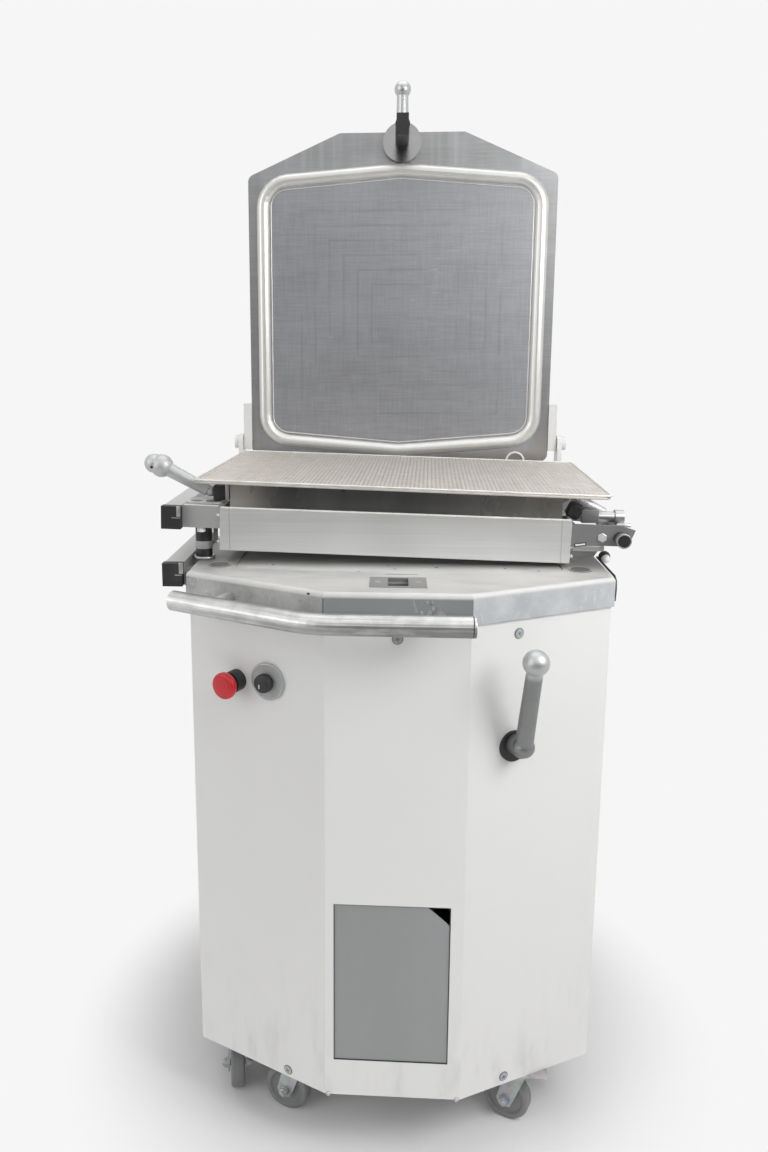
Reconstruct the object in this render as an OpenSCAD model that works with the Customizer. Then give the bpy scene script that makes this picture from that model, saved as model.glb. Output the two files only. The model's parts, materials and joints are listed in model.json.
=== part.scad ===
// Dough divider on casters. Floor at z = 0, front towards -y, origin under the middle of the cabinet.

/* [Show] */
// Sub-part to draw, or all

/* [Cabinet] */
// Side panels outside the head frame
cab_side = 42; // [38:1:60]
// Depth from the front facet to the rear panel
cab_d = 620; // [590:1:680]
// Width of the centre facet
front_w = 194; // [180:1:220]
// How far a slanted facet runs back
facet_d = 105; // [90:1:120]
// Lower edge above the floor
cab_z = 106; // [102:1:125]
// Sheet thickness
sheet = 2; // [1.5:0.1:3]
// Left edge of the access opening
open_x0 = -85; // [-88:1:-60]
// Right edge of the access opening
open_x1 = 79; // [60:1:85]
// Lower edge of the opening above the cabinet edge
open_lift = 57; // [45:1:80]
// Height of the access opening
open_h = 248; // [200:1:280]
// Width of the cut corner of the access panel
cut_w = 34; // [20:1:45]
// Height of the cut corner of the access panel
cut_h = 30; // [20:1:45]
// Lap of the access panel behind the sheet
open_lap = 7; // [4:1:8]

/* [Table] */
// Table surface above the floor
table_z = 862; // [840:1:900]
// Height of the skirt
table_h = 42; // [36:1:50]
// Overhang past the cabinet
table_over = 4; // [2:0.5:6]
// Thickness of the table plate
table_t = 14; // [12:1:18]
// Thickness of the skirt
skirt_t = 10; // [6:1:12]
// Edge rounding
table_r = 6; // [3:0.5:8]
// Diameter of a table plug
plug_d = 33; // [26:1:38]
// Depth of a plug in the plate
plug_t = 6; // [4:0.5:8]
// Height of the plug above the table
plug_rise = 1; // [0.5:0.5:2]
// Plug distance from the side
plug_side = 37; // [30:1:45]
// Plug distance behind the front facet
plug_back = 146; // [138:1:154]

/* [Striker] */
// Plate width
striker_w = 78; // [70:1:90]
// Plate length
striker_l = 56; // [54:1:60]
// Plate thickness
striker_t = 5; // [4:0.5:6]
// Height of the plate above the table
striker_rise = 1; // [0.5:0.5:2]
// Slot width
slot_w = 28; // [27:0.5:31]
// Slot length
slot_l = 44; // [43:0.5:48]
// Slot moved forward of the closed bolt
slot_lead = 2; // [1.5:0.5:3]
// Depth of the pocket below the table surface
pocket_deep = 28; // [26:1:32]
// Pocket width and length
pocket_w = 46; // [42:1:50]
// Wall round the pocket
pocket_wall = 8; // [6:1:10]

/* [Tank and ram] */
// Tank in from the cabinet side
tank_in = 61; // [56:1:70]
// Front tip of the tank behind the front facet
tank_front = 108; // [100:1:112]
// Tank length from tip to tip
tank_l = 476; // [465:1:480]
// Rise of each tip
tank_v = 20; // [14:1:26]
// Tank corner radius
tank_r = 26; // [16:1:32]
// Tank wall
tank_wall = 5; // [4:0.5:8]
// Tank depth below the table plate
tank_deep = 158; // [152:1:175]
// Clearance of the pressing plate in the tank
press_gap = 1; // [0.5:0.1:1.5]
// Pressing plate thickness
press_t = 18; // [14:1:22]
// Pressing plate below the table surface
press_low = 1; // [0.5:0.5:2]
// Seal thickness
seal_t = 5; // [4:0.5:8]
// Seal band width
seal_w = 12; // [8:1:16]
// Clearance of the seal in the tank
seal_gap = 0.3; // [0.2:0.1:0.5]
// Ram diameter
ram_d = 50; // [40:1:60]
// Ram length below the pressing plate
ram_l = 283; // [270:1:300]
// Piston diameter
piston_d = 80; // [70:1:90]
// Piston thickness
piston_t = 30; // [20:1:35]
// Cylinder wall
cyl_wall = 10; // [8:1:14]
// Cylinder head thickness
cyl_head = 24; // [18:1:30]
// Cylinder bore length
cyl_bore = 272; // [265:1:300]
// Gap between the tank foot and the cylinder head
cyl_drop = 2; // [1:1:10]
// Cylinder floor thickness
cyl_floor = 16; // [12:1:20]
// Radial running clearance of ram and piston
ram_fit = 0.05; // [0.02:0.01:0.1]
// Cylinder stand in from the cabinet side
stand_in = 179; // [165:1:200]
// Stand plate thickness
stand_t = 12; // [8:1:16]
// Stand leg size
stand_leg = 40; // [30:1:50]
// Motor diameter
motor_d = 130; // [110:1:150]
// Motor length
motor_l = 190; // [160:1:220]
// Motor centre in from the cabinet side
motor_in = 94; // [87:1:104]
// Motor front end behind the middle
motor_y = -30; // [-50:1:0]
// Pump diameter
pump_d = 84; // [60:1:100]
// Pump length
pump_l = 70; // [50:1:90]
// Motor foot height under the motor
motor_foot = 14; // [10:1:20]
// Motor foot width
motor_foot_w = 90; // [70:1:110]
// Oil tank width
oil_w = 130; // [100:1:140]
// Oil tank length
oil_l = 300; // [260:1:320]
// Oil tank height
oil_h = 230; // [180:1:260]
// Oil tank wall
oil_wall = 4; // [3:0.5:6]
// Filler cap diameter
oil_cap_d = 46; // [36:1:56]
// Filler cap height
oil_cap_h = 18; // [12:1:24]
// Clear space between side sheet and oil tank
oil_side = 18; // [10:1:30]

/* [Base] */
// Base plate thickness
base_t = 3; // [2:0.5:5]
// Upturned edge height
base_lip = 30; // [20:1:45]
// Clearance of base and rear panel in the sheet
base_gap = 0.2; // [0.1:0.1:0.4]
// Rear panel vents
vent_n = 7; // [4:1:9]
// Vent width
vent_w = 180; // [120:1:220]
// Vent slot height
vent_h = 8; // [6:1:10]
// Vent pitch
vent_pitch = 22; // [18:1:26]
// Lowest vent above the cabinet edge
vent_lift = 160; // [120:1:220]
// Gland bore
gland_d = 12; // [8:0.5:16]
// Gland body diameter
gland_body = 26; // [22:1:32]
// Gland length behind the panel
gland_l = 24; // [16:1:32]
// Gland flange diameter
gland_flange = 34; // [30:1:42]
// Gland flange thickness
gland_flange_t = 5; // [4:0.5:8]
// Gland height above the cabinet edge
gland_lift = 90; // [70:1:120]
// Gland to the left of the middle, seen from the front
gland_x = -180; // [-220:1:-140]

/* [Handle] */
// Tube diameter
handle_d = 28; // [24:1:34]
// Tube wall
handle_wall = 3; // [2:0.5:4]
// Stand-off of the tube axis from the facets
handle_off = 60; // [52:1:72]
// Tube axis below the table surface
handle_drop = 27; // [22:1:30]
// Right end of the tube from the middle
handle_right = 93; // [70:1:96]
// Left end along the facet from the crease
handle_left = 222; // [200:1:232]
// Bend radius
handle_bend = 130; // [90:1:170]
// Post diameter
post_d = 16; // [12:1:20]
// Right post from the middle
post_x = 54; // [45:1:65]
// Left post along the facet from the crease
post_along = 152; // [135:1:165]

/* [Controls] */
// Height of the start switch above the floor
switch_z = 722; // [700:1:730]
// Emergency stop below the start switch
estop_drop = 8; // [0:1:12]
// Emergency stop along the left facet from the crease
estop_along = 145; // [140:1:155]
// Stop collar diameter
collar_d = 31; // [28:1:34]
// Stop collar length
collar_l = 18; // [14:1:22]
// Mushroom diameter
mush_d = 38; // [36:1:42]
// Mushroom thickness at the rim
mush_rim = 8; // [6:1:10]
// Mushroom dome height
mush_dome = 4.5; // [3:0.5:8]
// Gap under the mushroom
mush_gap = 6; // [5.5:0.5:8]
// Stop stem diameter
stem_d = 14; // [10:1:16]
// Radial clearance of turning and sliding stems
stem_fit = 0.06; // [0.03:0.01:0.1]
// Start switch along the left facet from the crease
start_along = 91; // [85:1:98]
// Start plate diameter
disc_d = 54; // [46:1:56]
// Start plate thickness
disc_t = 4; // [3:0.5:6]
// Start knob diameter
knob_d = 28; // [24:1:32]
// Start knob height
knob_h = 19; // [14:1:24]
// Knob lift off its plate
knob_gap = 0.5; // [0.3:0.1:1]
// Knob grip bar thickness
grip_t = 9; // [7:1:12]
// Knob grip height share of the knob height
grip_share = 0.55; // [0.4:0.05:0.7]
// Valve lever along the right facet from the crease
valve_along = 71; // [66:1:80]
// Valve lever axis above the floor
valve_z = 640; // [620:1:660]
// Valve hub diameter
hub_d = 34; // [30:1:38]
// Valve hub length
hub_l = 24; // [20:1:28]
// Grommet diameter
grommet_d = 44; // [38:1:48]
// Grommet thickness
grommet_t = 4; // [3:0.5:6]
// Valve lever shaft diameter
valve_shaft = 14; // [12:1:16]
// Valve lever length from axis to ball
valve_len = 150; // [130:1:155]
// Valve lever lean outward in degrees
valve_lean = 19; // [12:1:25]
// Valve lever turn at rest in degrees
valve_turn = 3; // [0:1:10]
// Valve lever radius at the hub
valve_r0 = 13; // [10:0.5:15]
// Valve lever radius at the ball
valve_r1 = 10; // [8:0.5:12]
// Valve ball radius
valve_ball = 17.5; // [15:0.5:20]
// Valve block size
block_w = 70; // [60:1:80]
// Valve block depth
block_deep = 60; // [50:1:70]

/* [Lid] */
// Hinge axis above the table surface
lid_rise = 138; // [135:1:146]
// Hinge axis in front of the rear panel
hinge_inset = 30; // [28:1:34]
// Inner face in front of the hinge axis
lid_face = 4; // [3:0.5:6]
// Lid plate thickness
lid_t = 12; // [9:0.5:15]
// Lid width
lid_w = 555; // [548:1:556]
// Width of the lid top edge
lid_top_w = 222; // [190:1:250]
// Lid below the hinge axis
lid_low = 34; // [28:1:36]
// Shoulders above the hinge axis
lid_shoulder = 479; // [465:1:490]
// Top edge above the hinge axis
lid_top = 552; // [546:1:560]
// Lid corner radius
lid_r = 14; // [8:1:20]
// Bead width
bead_w = 23; // [18:0.5:26]
// Bead height
bead_h = 8; // [6:0.5:8.5]
// Bead line in from the lid side
bead_in = 26.5; // [22:0.5:34]
// Lower tip of the bead line below the hinge axis
bead_low = 14; // [8:1:16]
// Upper tip of the bead line above the hinge axis
bead_top = 489; // [480:1:492]
// Rise of the bead tips
bead_v = 20; // [14:1:26]
// Bead corner radius
bead_r = 48; // [30:1:56]
// Width of a hinge arm
arm_w = 15; // [12:0.5:16]
// Depth of a hinge arm
arm_t = 16; // [14:0.5:20]
// Arm above the hinge axis
arm_up = 72; // [50:1:76]
// Arm below the hinge axis
arm_down = 14; // [11:1:16]
// Side play between arm and upright
arm_gap = 1.5; // [0.5:0.1:2]
// Upright thickness
upright_t = 8; // [6:0.5:10]
// Upright foot length
upright_foot = 62; // [50:1:64]
// Upright foot width
upright_foot_w = 24; // [16:1:30]
// Upright foot thickness
upright_foot_t = 7; // [5:0.5:9]
// Upright head radius
upright_r = 15; // [12:0.5:18]
// Hinge pin diameter
hpin_d = 12; // [10:0.5:14]
// Hinge pin head radius
hpin_head = 12.5; // [10:0.5:14]
// Hinge pin head thickness
hpin_head_t = 8; // [6:0.5:10]
// Hinge radial clearance
hinge_fit = 0.05; // [0.02:0.01:0.1]

/* [Lid latch] */
// Latch axis above the hinge axis
latch_up = 534; // [526:1:536]
// Hub radius on the inner face
latch_hub_r = 34; // [28:1:36]
// Hub thickness
latch_hub_t = 9; // [6:0.5:12]
// Hub sleeve radius in the lid
latch_sleeve = 17; // [15:0.5:20]
// Bolt diameter
latch_d = 24; // [20:0.5:25]
// Bolt tip below the table surface when closed
latch_reach = 17; // [15:1:19]
// Cross head length
cross_l = 34; // [31:0.5:34]
// Cross head width
cross_w = 20; // [16:0.5:22]
// Cross head thickness
cross_t = 7; // [6:0.5:8]
// Bolt behind the lid
latch_back = 28; // [24:1:34]
// Lever boss radius
boss_r = 20; // [17:0.5:22]
// Gap between lever boss and lid
boss_gap = 2; // [1:0.5:4]
// Lever length from axis to ball
latch_len = 96; // [85:1:105]
// Lever radius
latch_lever_r = 12; // [9:0.5:13]
// Lever radius at the ball
latch_lever_r1 = 10; // [7:0.5:12]
// Lever ball radius
latch_ball = 14.8; // [12.5:0.1:18]

/* [Head] */
// Lift of the head at its left on the rest post in degrees
head_tilt = 1.5; // [0.8:0.1:1.8]
// Head pin outside the cabinet side
pin_out = 21; // [19:1:24]
// Head pin above the table
pin_up = 44; // [42:1:48]
// Head pin diameter
pin_d = 16; // [14:0.5:18]
// Round end of the head pin, diameter
pin_end_d = 20; // [18:0.5:24]
// Round end of the head pin, length
pin_end_l = 13; // [9:1:16]
// Gap of the level head over the table
head_gap = 4; // [3:0.5:6]
// Frame width
head_w = 514; // [508:1:516]
// Frame moved to the right of the middle
head_dx = -7; // [-9:1:0]
// Frame front behind the front facet
head_front = 161; // [156:1:164]
// Frame length
head_l = 385; // [375:1:390]
// Frame height
apron_h = 64; // [58:1:68]
// Frame wall
head_t = 3; // [2:0.5:4]
// Frame inner ledge
ledge_w = 32; // [30:1:40]
// Cassette in from the frame side
cass_in = 11; // [10:0.5:14]
// Cassette front behind the frame front
cass_front = 24; // [20:1:26]
// Cassette length
cass_l = 354; // [345:1:356]
// Cassette height
cass_h = 93; // [91:1:95]
// Cassette wall
cass_t = 2.5; // [2:0.5:3]
// Knife rows along the width
knife_nx = 5; // [3:1:7]
// Knife rows along the depth
knife_ny = 4; // [3:1:5]
// Knife thickness
knife_t = 2; // [1.5:0.5:3]
// Knife height
knife_h = 60; // [45:1:70]
// Knife lower edge above the cassette foot
knife_lift = 14; // [8:1:20]
// Clearance of the knife grid in the cassette
knife_gap = 0.2; // [0.1:0.1:0.5]
// Tray width
tray_w = 600; // [580:1:604]
// Tray length
tray_l = 404; // [396:1:406]
// Tray moved to the right
tray_dx = 7; // [3:1:9]
// Tray front behind the front facet
tray_front = 147; // [143:1:150]
// Tray turned on the cassette in degrees
tray_turn = -2; // [-2.4:0.1:1]
// Tray rim
tray_rim = 6; // [5:0.5:7]
// Tray corner radius
tray_r = 12; // [8:1:20]
// Mesh thickness
mesh_t = 2; // [1.5:0.5:2.5]
// Mesh holes along the width
mesh_nx = 20; // [10:1:20]
// Mesh holes along the depth
mesh_ny = 14; // [8:1:14]
// Mesh strand width
strand = 3; // [2:0.5:4]

/* [Head, left side] */
// Bracket width
brk_w = 56; // [53:1:58]
// Bracket height
brk_h = 34; // [30:1:36]
// Bracket length
brk_l = 70; // [60:1:80]
// Bracket wall
brk_t = 3; // [2.5:0.5:4]
// Bracket above the frame foot
brk_lift = 32; // [30:1:34]
// Rail width
rail_w = 28; // [24:1:30]
// Rail height
rail_h = 32; // [28:1:34]
// Rail wall
rail_t = 2.5; // [2:0.5:3]
// Upper rail length
rail_l = 265; // [220:1:280]
// Rail cap length
cap_l = 14; // [10:1:18]
// Rail cap edge past the rail
cap_edge = 1; // [0.5:0.5:1.5]
// Oval plate length
oval_l = 52; // [46:1:56]
// Oval plate width
oval_w = 22; // [18:1:26]
// Oval plate thickness
oval_t = 4; // [3:0.5:5]
// Oval plate hole diameter
oval_hole = 6; // [5:0.5:7]
// Oval plate hole distance
oval_span = 34; // [28:1:38]
// Clamp axis behind the bracket front
clamp_back = 28; // [24:1:34]
// Clamp axis above the oval plate
clamp_up = 10; // [10:0.5:11]
// Bush radius
bush_r = 9; // [8:0.5:9.5]
// Bush length
bush_l = 22; // [18:1:24]
// Clamp shaft diameter
clamp_shaft = 10; // [8:0.5:12]
// Clamp cam radius
cam_r = 9; // [7:0.5:10]
// Clamp cam thickness
cam_t = 4; // [3:0.5:5]
// Clamp cam offset from the axis
cam_off = 2; // [1:0.5:2]
// Clamp lever length
clamp_len = 80; // [72:1:92]
// Clamp lever slope in degrees
clamp_slope = 30; // [25:1:34]
// Clamp lever radius at the root
clamp_r0 = 8; // [6:0.5:8]
// Clamp lever radius at the ball
clamp_r1 = 10; // [8:0.5:11]
// Clamp lever knuckle radius
clamp_root = 8.5; // [8:0.5:9]
// Clamp ball radius
clamp_ball = 17; // [14:0.5:18]
// Lower rail length
low_rail_l = 265; // [220:1:300]
// Lower rail front behind the front facet
low_rail_front = 125; // [120:1:140]
// Lower rail bottom below the table surface
low_rail_drop = 24; // [20:1:28]
// Gap plate between table and lower rail
low_rail_gap = 8; // [6:1:10]
// Gap plate length
low_plate_l = 40; // [30:1:60]
// Rest post diameter
rest_d = 25; // [20:0.5:26]
// Rest post neck diameter
neck_d = 15; // [12:0.5:18]
// Rest post neck height
neck_h = 10; // [8:1:14]
// Rest post cap height
rest_cap = 9; // [7:0.5:12]
// Rest post from the table edge
rest_in = 9; // [7:1:12]
// Gap between rest post and bracket
rest_gap = 0.3; // [0.2:0.1:0.5]
// Rest post flange diameter
rest_flange = 34; // [30:1:36]
// Rest post flange thickness
rest_flange_t = 5; // [4:0.5:6]

/* [Head, right side] */
// Hinge plate thickness
hplate_t = 5; // [4:0.5:6]
// Hinge plate end past the pin
hplate_out = 21; // [18:1:24]
// Hinge plate below the pin
hplate_low = 12; // [10.5:0.5:14]
// Hinge plate above the pin
hplate_up = 18; // [15:0.5:19]
// Hinge plate flange length
hflange_l = 26; // [20:1:27]
// Lug thickness
lug_t = 18; // [14:1:20]
// Lug radius round the pin
lug_r = 13; // [11.5:0.5:15]
// Gap between lug and hinge plate
lug_gap = 2; // [1:0.5:3]
// Front lug behind the front hinge plate
lug_back = 70; // [50:1:90]
// Lug foot from the head frame
lug_foot = 12; // [11:1:16]
// Lug foot height
lug_foot_h = 20; // [16:1:24]
// Rear hinge plate in front of the frame rear
rear_plate = 25; // [20:1:40]
// Pull pin behind the frame front
pull_back = 40; // [38:1:46]
// Pull pin axis above the head pin
pull_up = 24; // [22:0.5:26]
// Pull pin diameter
pull_d = 16; // [12:0.5:16]
// Pull pin nose diameter
nose_d = 10; // [7:0.5:11]
// Pull pin end past the head pin
pull_out = 11; // [6:1:14]
// Pull pin collar diameter
pull_collar = 22; // [18:0.5:24]
// Pull pin collar length
pull_collar_l = 13; // [8:1:14]
// Guide block length
guide_l = 20; // [16:1:24]
// Guide block width
guide_w = 24; // [22:1:25]
// Guide block height below and above the pin
guide_h = 15; // [12:0.5:16]
// Pull pin radial clearance
pull_fit = 0.06; // [0.03:0.01:0.1]
// Gap round the pull pin nose in the cassette
nose_gap = 0.4; // [0.3:0.1:0.6]

/* [Casters] */
// Wheel radius
wheel_r = 36; // [32:0.5:38]
// Wheel width
wheel_w = 22; // [18:0.5:24]
// Wheel rim groove depth
wheel_dish = 4; // [2:0.5:6]
// Axle diameter
axle_d = 10; // [8:0.5:12]
// Axle head radius
axle_head = 8; // [6.5:0.5:9]
// Axle head thickness
axle_head_t = 4; // [3:0.5:6]
// Axle radial clearance
axle_fit = 0.05; // [0.02:0.01:0.1]
// Gap between wheel and fork
fork_gap = 1.5; // [1:0.1:2.5]
// Fork sheet
fork_t = 2.5; // [2:0.5:3]
// Fork leg width
fork_leg = 26; // [20:1:30]
// Fork crown radius
crown_r = 24; // [20:0.5:26]
// Fork crown thickness
crown_t = 8; // [5:0.5:10]
// Trail from swivel to axle
trail = 18; // [14:1:18]
// Gap between crown and plate
swivel_gap = 0.5; // [0.3:0.1:1]
// Kingpin diameter
king_d = 12; // [10:0.5:14]
// Caster plate size
cplate_w = 74; // [64:1:80]
// Caster plate thickness
cplate_t = 5; // [4:0.5:6]
// Front left caster left of the crease
fl_out = 48; // [40:1:54]
// Front left caster behind the front facet
fl_back = 90; // [84:1:96]
// Left caster in from the side
ll_in = 46; // [45:1:50]
// Left caster behind the front facet
ll_back = 155; // [151:1:165]
// Front right caster right of the crease
fr_out = 99; // [85:1:105]
// Front right caster behind the front facet
fr_back = 90; // [84:1:100]
// Rear casters in from the side
rear_in = 59; // [50:1:70]
// Rear casters in front of the rear panel
rear_back = 100; // [80:1:120]
// Rest angle of the front left caster
fl_turn = 160; // [0:1:360]
// Rest angle of the left caster
ll_turn = 280; // [0:1:360]
// Rest angle of the front right caster
fr_turn = 155; // [0:1:360]
// Rest angle of the rear casters
rear_turn = 90; // [0:1:360]

/* [Hidden] */
$fn = 48;
over = 1;
arc_n = 6;
bead_n = 10;
tube_n = 28;
fy = -cab_d / 2;
by = cab_d / 2;
half_w = head_w / 2 + cab_side;
side_out = half_w + table_over;
facet_a = atan(facet_d / (half_w - front_w / 2));
facet_len = facet_d / sin(facet_a);
skirt_z = table_z - table_h;
cab_h = skirt_z - cab_z;
open_z0 = cab_z + open_lift;
open_z1 = open_z0 + open_h;
base_z = cab_z;
base_top = base_z + base_t;
tank_y0 = fy + tank_front;
tank_y1 = tank_y0 + tank_l;
tank_top = table_z - table_t;
tank_bot = tank_top - tank_deep;
press_z1 = table_z - press_low;
press_z0 = press_z1 - press_t;
tank_mid = (tank_y0 + tank_y1) / 2;
tank_w = (half_w - tank_in) * 2;
stand_w = (half_w - stand_in) * 2;
motor_x = half_w - motor_in;
cyl_z1 = tank_bot - cyl_drop;
cyl_z0 = cyl_z1 - cyl_head - cyl_bore - cyl_floor;
hinge_y = by - hinge_inset;
hinge_z = table_z + lid_rise;
bead_half = lid_w / 2 - bead_in;
lid_y0 = hinge_y - lid_face;
lid_y1 = lid_y0 + lid_t;
latch_z = hinge_z + latch_up;
latch_y = hinge_y - latch_up;
slot_y = latch_y - slot_lead;
bolt_front = lid_y0 - lid_rise + lid_face - latch_reach;
pin_x = half_w + pin_out;
pin_z = table_z + pin_up;
head_z = table_z + head_gap;
head_x0 = head_dx - head_w / 2;
head_x1 = head_dx + head_w / 2;
head_y0 = fy + head_front;
head_y1 = head_y0 + head_l;
cass_x0 = head_x0 + cass_in;
cass_x1 = head_x1 - cass_in;
cass_z = head_z + head_t;
cass_y0 = head_y0 + cass_front;
cass_y1 = cass_y0 + cass_l;
cass_top = cass_z + cass_h;
tray_y0 = fy + tray_front;
brk_z = head_z + brk_lift;
brk_x1 = head_x0;
brk_x0 = brk_x1 - brk_w;
brk_y0 = head_y0 + sheet;
clamp_y = brk_y0 + clamp_back;
clamp_z = brk_z + brk_h + oval_t + clamp_up;
oval_x = (brk_x0 + brk_x1) / 2;
bush_x1 = brk_x1 - fork_gap;
bush_x0 = bush_x1 - bush_l;
rest_x = rest_in - side_out;
rest_y = clamp_y;
rest_top = pin_z + (pin_x - rest_x) * sin(head_tilt) - (pin_z - brk_z) * cos(head_tilt)
  - rest_d / 2 * sin(head_tilt) - rest_gap;
estop_z = switch_z - estop_drop;
pull_y = head_y0 + pull_back;
pull_z = pin_z + pull_up;
guide_x0 = head_x1;
guide_x1 = guide_x0 + guide_l;
front_lug_y = head_y0 + hplate_t + lug_back;
rear_plate_y = head_y1 - rear_plate;
rear_lug_y = rear_plate_y - lug_gap - lug_t;
low_rail_x1 = -side_out - low_rail_gap;
low_rail_x0 = low_rail_x1 - rail_w;
low_rail_z = table_z - low_rail_drop;
cplate_z = cab_z - cplate_t;
crown_z = cplate_z - swivel_gap - crown_t;
fork_half = wheel_w / 2 + fork_gap;
caster_fl = [-front_w / 2 - fl_out, fy + fl_back];
caster_ll = [ll_in - half_w, fy + ll_back];
caster_fr = [front_w / 2 + fr_out, fy + fr_back];
caster_rl = [rear_in - half_w, by - rear_back];
caster_rr = [half_w - rear_in, by - rear_back];
casters = [caster_fl, caster_ll, caster_fr, caster_rl, caster_rr];

// Footprint of the cabinet moved inwards by d, closed at y = back
function footprint(d, back) =
  let (cx = front_w / 2 - d * tan(facet_a / 2),
       sx = half_w - d,
       sy = fy + (sin(facet_a) * (sx - front_w / 2) + d) / cos(facet_a))
  [[-cx, fy + d], [cx, fy + d], [sx, sy], [sx, back], [-sx, back], [-sx, sy]];

// Closed outline with an arc of the given radius at each corner
function unit(v) = v / norm(v);
function arced(p, r) = [for (i = [0 : len(p) - 1])
  let (a = p[(i + len(p) - 1) % len(p)], b = p[i], c = p[(i + 1) % len(p)],
       u = unit(a - b), v = unit(c - b), t = acos(u * v),
       m = b + unit(u + v) * r[i] / sin(t / 2),
       s = b + u * r[i] / tan(t / 2) - m,
       e = b + v * r[i] / tan(t / 2) - m,
       turn = cross(s, e) > 0 ? 180 - t : t - 180)
  for (k = [0 : r[i] > 0 ? arc_n : 0])
    let (w = turn * k / arc_n)
    r[i] > 0 ? m + [s[0] * cos(w) - s[1] * sin(w), s[0] * sin(w) + s[1] * cos(w)] : b];

// Six-sided outline with a shallow tip at each end
function six(hw, a, b, v) = [[0, a], [hw, a + v], [hw, b - v], [0, b], [-hw, b - v], [-hw, a + v]];
function tank_line(d) = arced(six(tank_w / 2 - d, tank_y0 + d, tank_y1 - d, tank_v),
  [tank_r, tank_r - d / 2, tank_r - d / 2, tank_r, tank_r - d / 2, tank_r - d / 2]);

// Section points [across, up] carried along a flat path, with mitred joins
module sweep(path, sect, closed) {
  n = len(path);
  m = len(sect);
  points = [for (i = [0 : n - 1])
    let (b = path[i],
         u = i > 0 || closed ? unit(b - path[(i + n - 1) % n]) : unit(path[i + 1] - b),
         v = i < n - 1 || closed ? unit(path[(i + 1) % n] - b) : u,
         t = unit(u + v),
         w = [-t[1], t[0]] / (t * u))
    for (s = sect) [b[0] + w[0] * s[0], b[1] + w[1] * s[0], s[1]]];
  sides = [for (i = [0 : closed ? n - 1 : n - 2]) for (j = [0 : m - 1])
    let (k = (i + 1) % n, l = (j + 1) % m)
    each [[i * m + j, k * m + j, k * m + l], [i * m + j, k * m + l, i * m + l]]];
  ends = closed ? [] : [[for (j = [0 : m - 1]) j], [for (j = [m - 1 : -1 : 0]) (n - 1) * m + j]];
  polyhedron(points, concat(sides, ends));
}

module box(x0, x1, y0, y1, z0, z1) {
  translate([x0, y0, z0]) cube([x1 - x0, y1 - y0, z1 - z0]);
}

// Round bar along x, y or z between two stations
module bar_x(r, x0, x1) {
  translate([x0, 0, 0]) rotate([0, 90, 0]) cylinder(r = r, h = x1 - x0);
}

module bar_y(r, y0, y1) {
  translate([0, y0, 0]) rotate([-90, 0, 0]) cylinder(r = r, h = y1 - y0);
}

module bar_z(r, z0, z1) {
  translate([0, 0, z0]) cylinder(r = r, h = z1 - z0);
}

// Outline drawn in x and z, from y0 to y1
module wall_xz(y0, y1) {
  translate([0, y1, 0]) rotate([90, 0, 0]) linear_extrude(y1 - y0) children();
}

// Outline drawn in y and z, from x0 to x1
module wall_yz(x0, x1) {
  translate([x0, 0, 0]) rotate([90, 0, 90]) linear_extrude(x1 - x0) children();
}

module both_sides() {
  children();
  mirror([1, 0, 0]) children();
}

// A slanted facet: local x runs along it, y up, z outwards
module on_facet(side, along, z) {
  translate([side * (front_w / 2 + along * cos(facet_a)), fy + along * sin(facet_a), z])
    rotate([0, 0, side * facet_a]) rotate([90, 0, 0]) children();
}

// The head as it rests, lifted at its left side
module on_head() {
  translate([pin_x, 0, pin_z]) rotate([0, head_tilt, 0]) translate([-pin_x, 0, -pin_z]) children();
}

module on_lid() {
  translate([0, 0, hinge_z]) children();
}

module lever(h, r0, r1, ball) {
  cylinder(r1 = r0, r2 = r1, h = h);
  translate([0, 0, h]) sphere(ball);
}

// Cabinet
module front_panel() {
  color("white") difference() {
    translate([0, 0, cab_z]) linear_extrude(cab_h) difference() {
      polygon(footprint(0, by));
      polygon(footprint(sheet, by + over));
    }
    box(open_x0, open_x1, fy - over, fy + sheet + over, open_z0, open_z1);
    on_facet(-1, estop_along, estop_z) bar_z(stem_d / 2 + stem_fit, -sheet - over, over);
    on_facet(-1, start_along, switch_z) bar_z(stem_d / 2 + stem_fit, -sheet - over, over);
    on_facet(1, valve_along, valve_z) bar_z(valve_shaft / 2 + stem_fit, -sheet - over, over);
  }
}

module rear_panel() {
  color("white") difference() {
    box(sheet + base_gap - half_w, half_w - sheet - base_gap, by - sheet, by, base_top + base_lip, skirt_z);
    for (i = [0 : vent_n - 1])
      translate([0, 0, cab_z + vent_lift + i * vent_pitch])
        box(-vent_w / 2, vent_w / 2, by - sheet - over, by + over, 0, vent_h);
    translate([gland_x, 0, cab_z + gland_lift]) bar_y(gland_body / 2, by - sheet - over, by + over);
  }
}

module base_frame() {
  color("grey") {
    difference() {
      translate([0, 0, base_z]) linear_extrude(base_t + base_lip) polygon(footprint(sheet + base_gap, by));
      translate([0, 0, base_top]) linear_extrude(base_lip + over)
        polygon(footprint(sheet + base_gap + base_t, by - base_t));
      for (c = casters) translate([c[0], c[1], 0]) bar_z(king_d / 2 + sheet, base_z - over, base_top + over);
    }
    cylinder_stand();
  }
}

module access_panel() {
  slope = cut_h / cut_w;
  color("grey") wall_xz(fy + sheet, fy + sheet * 2) polygon([
    [open_x0 - open_lap, open_z0 - open_lap], [open_x1 + open_lap, open_z0 - open_lap],
    [open_x1 + open_lap, open_z1 - cut_h - open_lap * slope], [open_x1 - cut_w - open_lap / slope, open_z1 + open_lap],
    [open_x0 - open_lap, open_z1 + open_lap]]);
}

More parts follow.
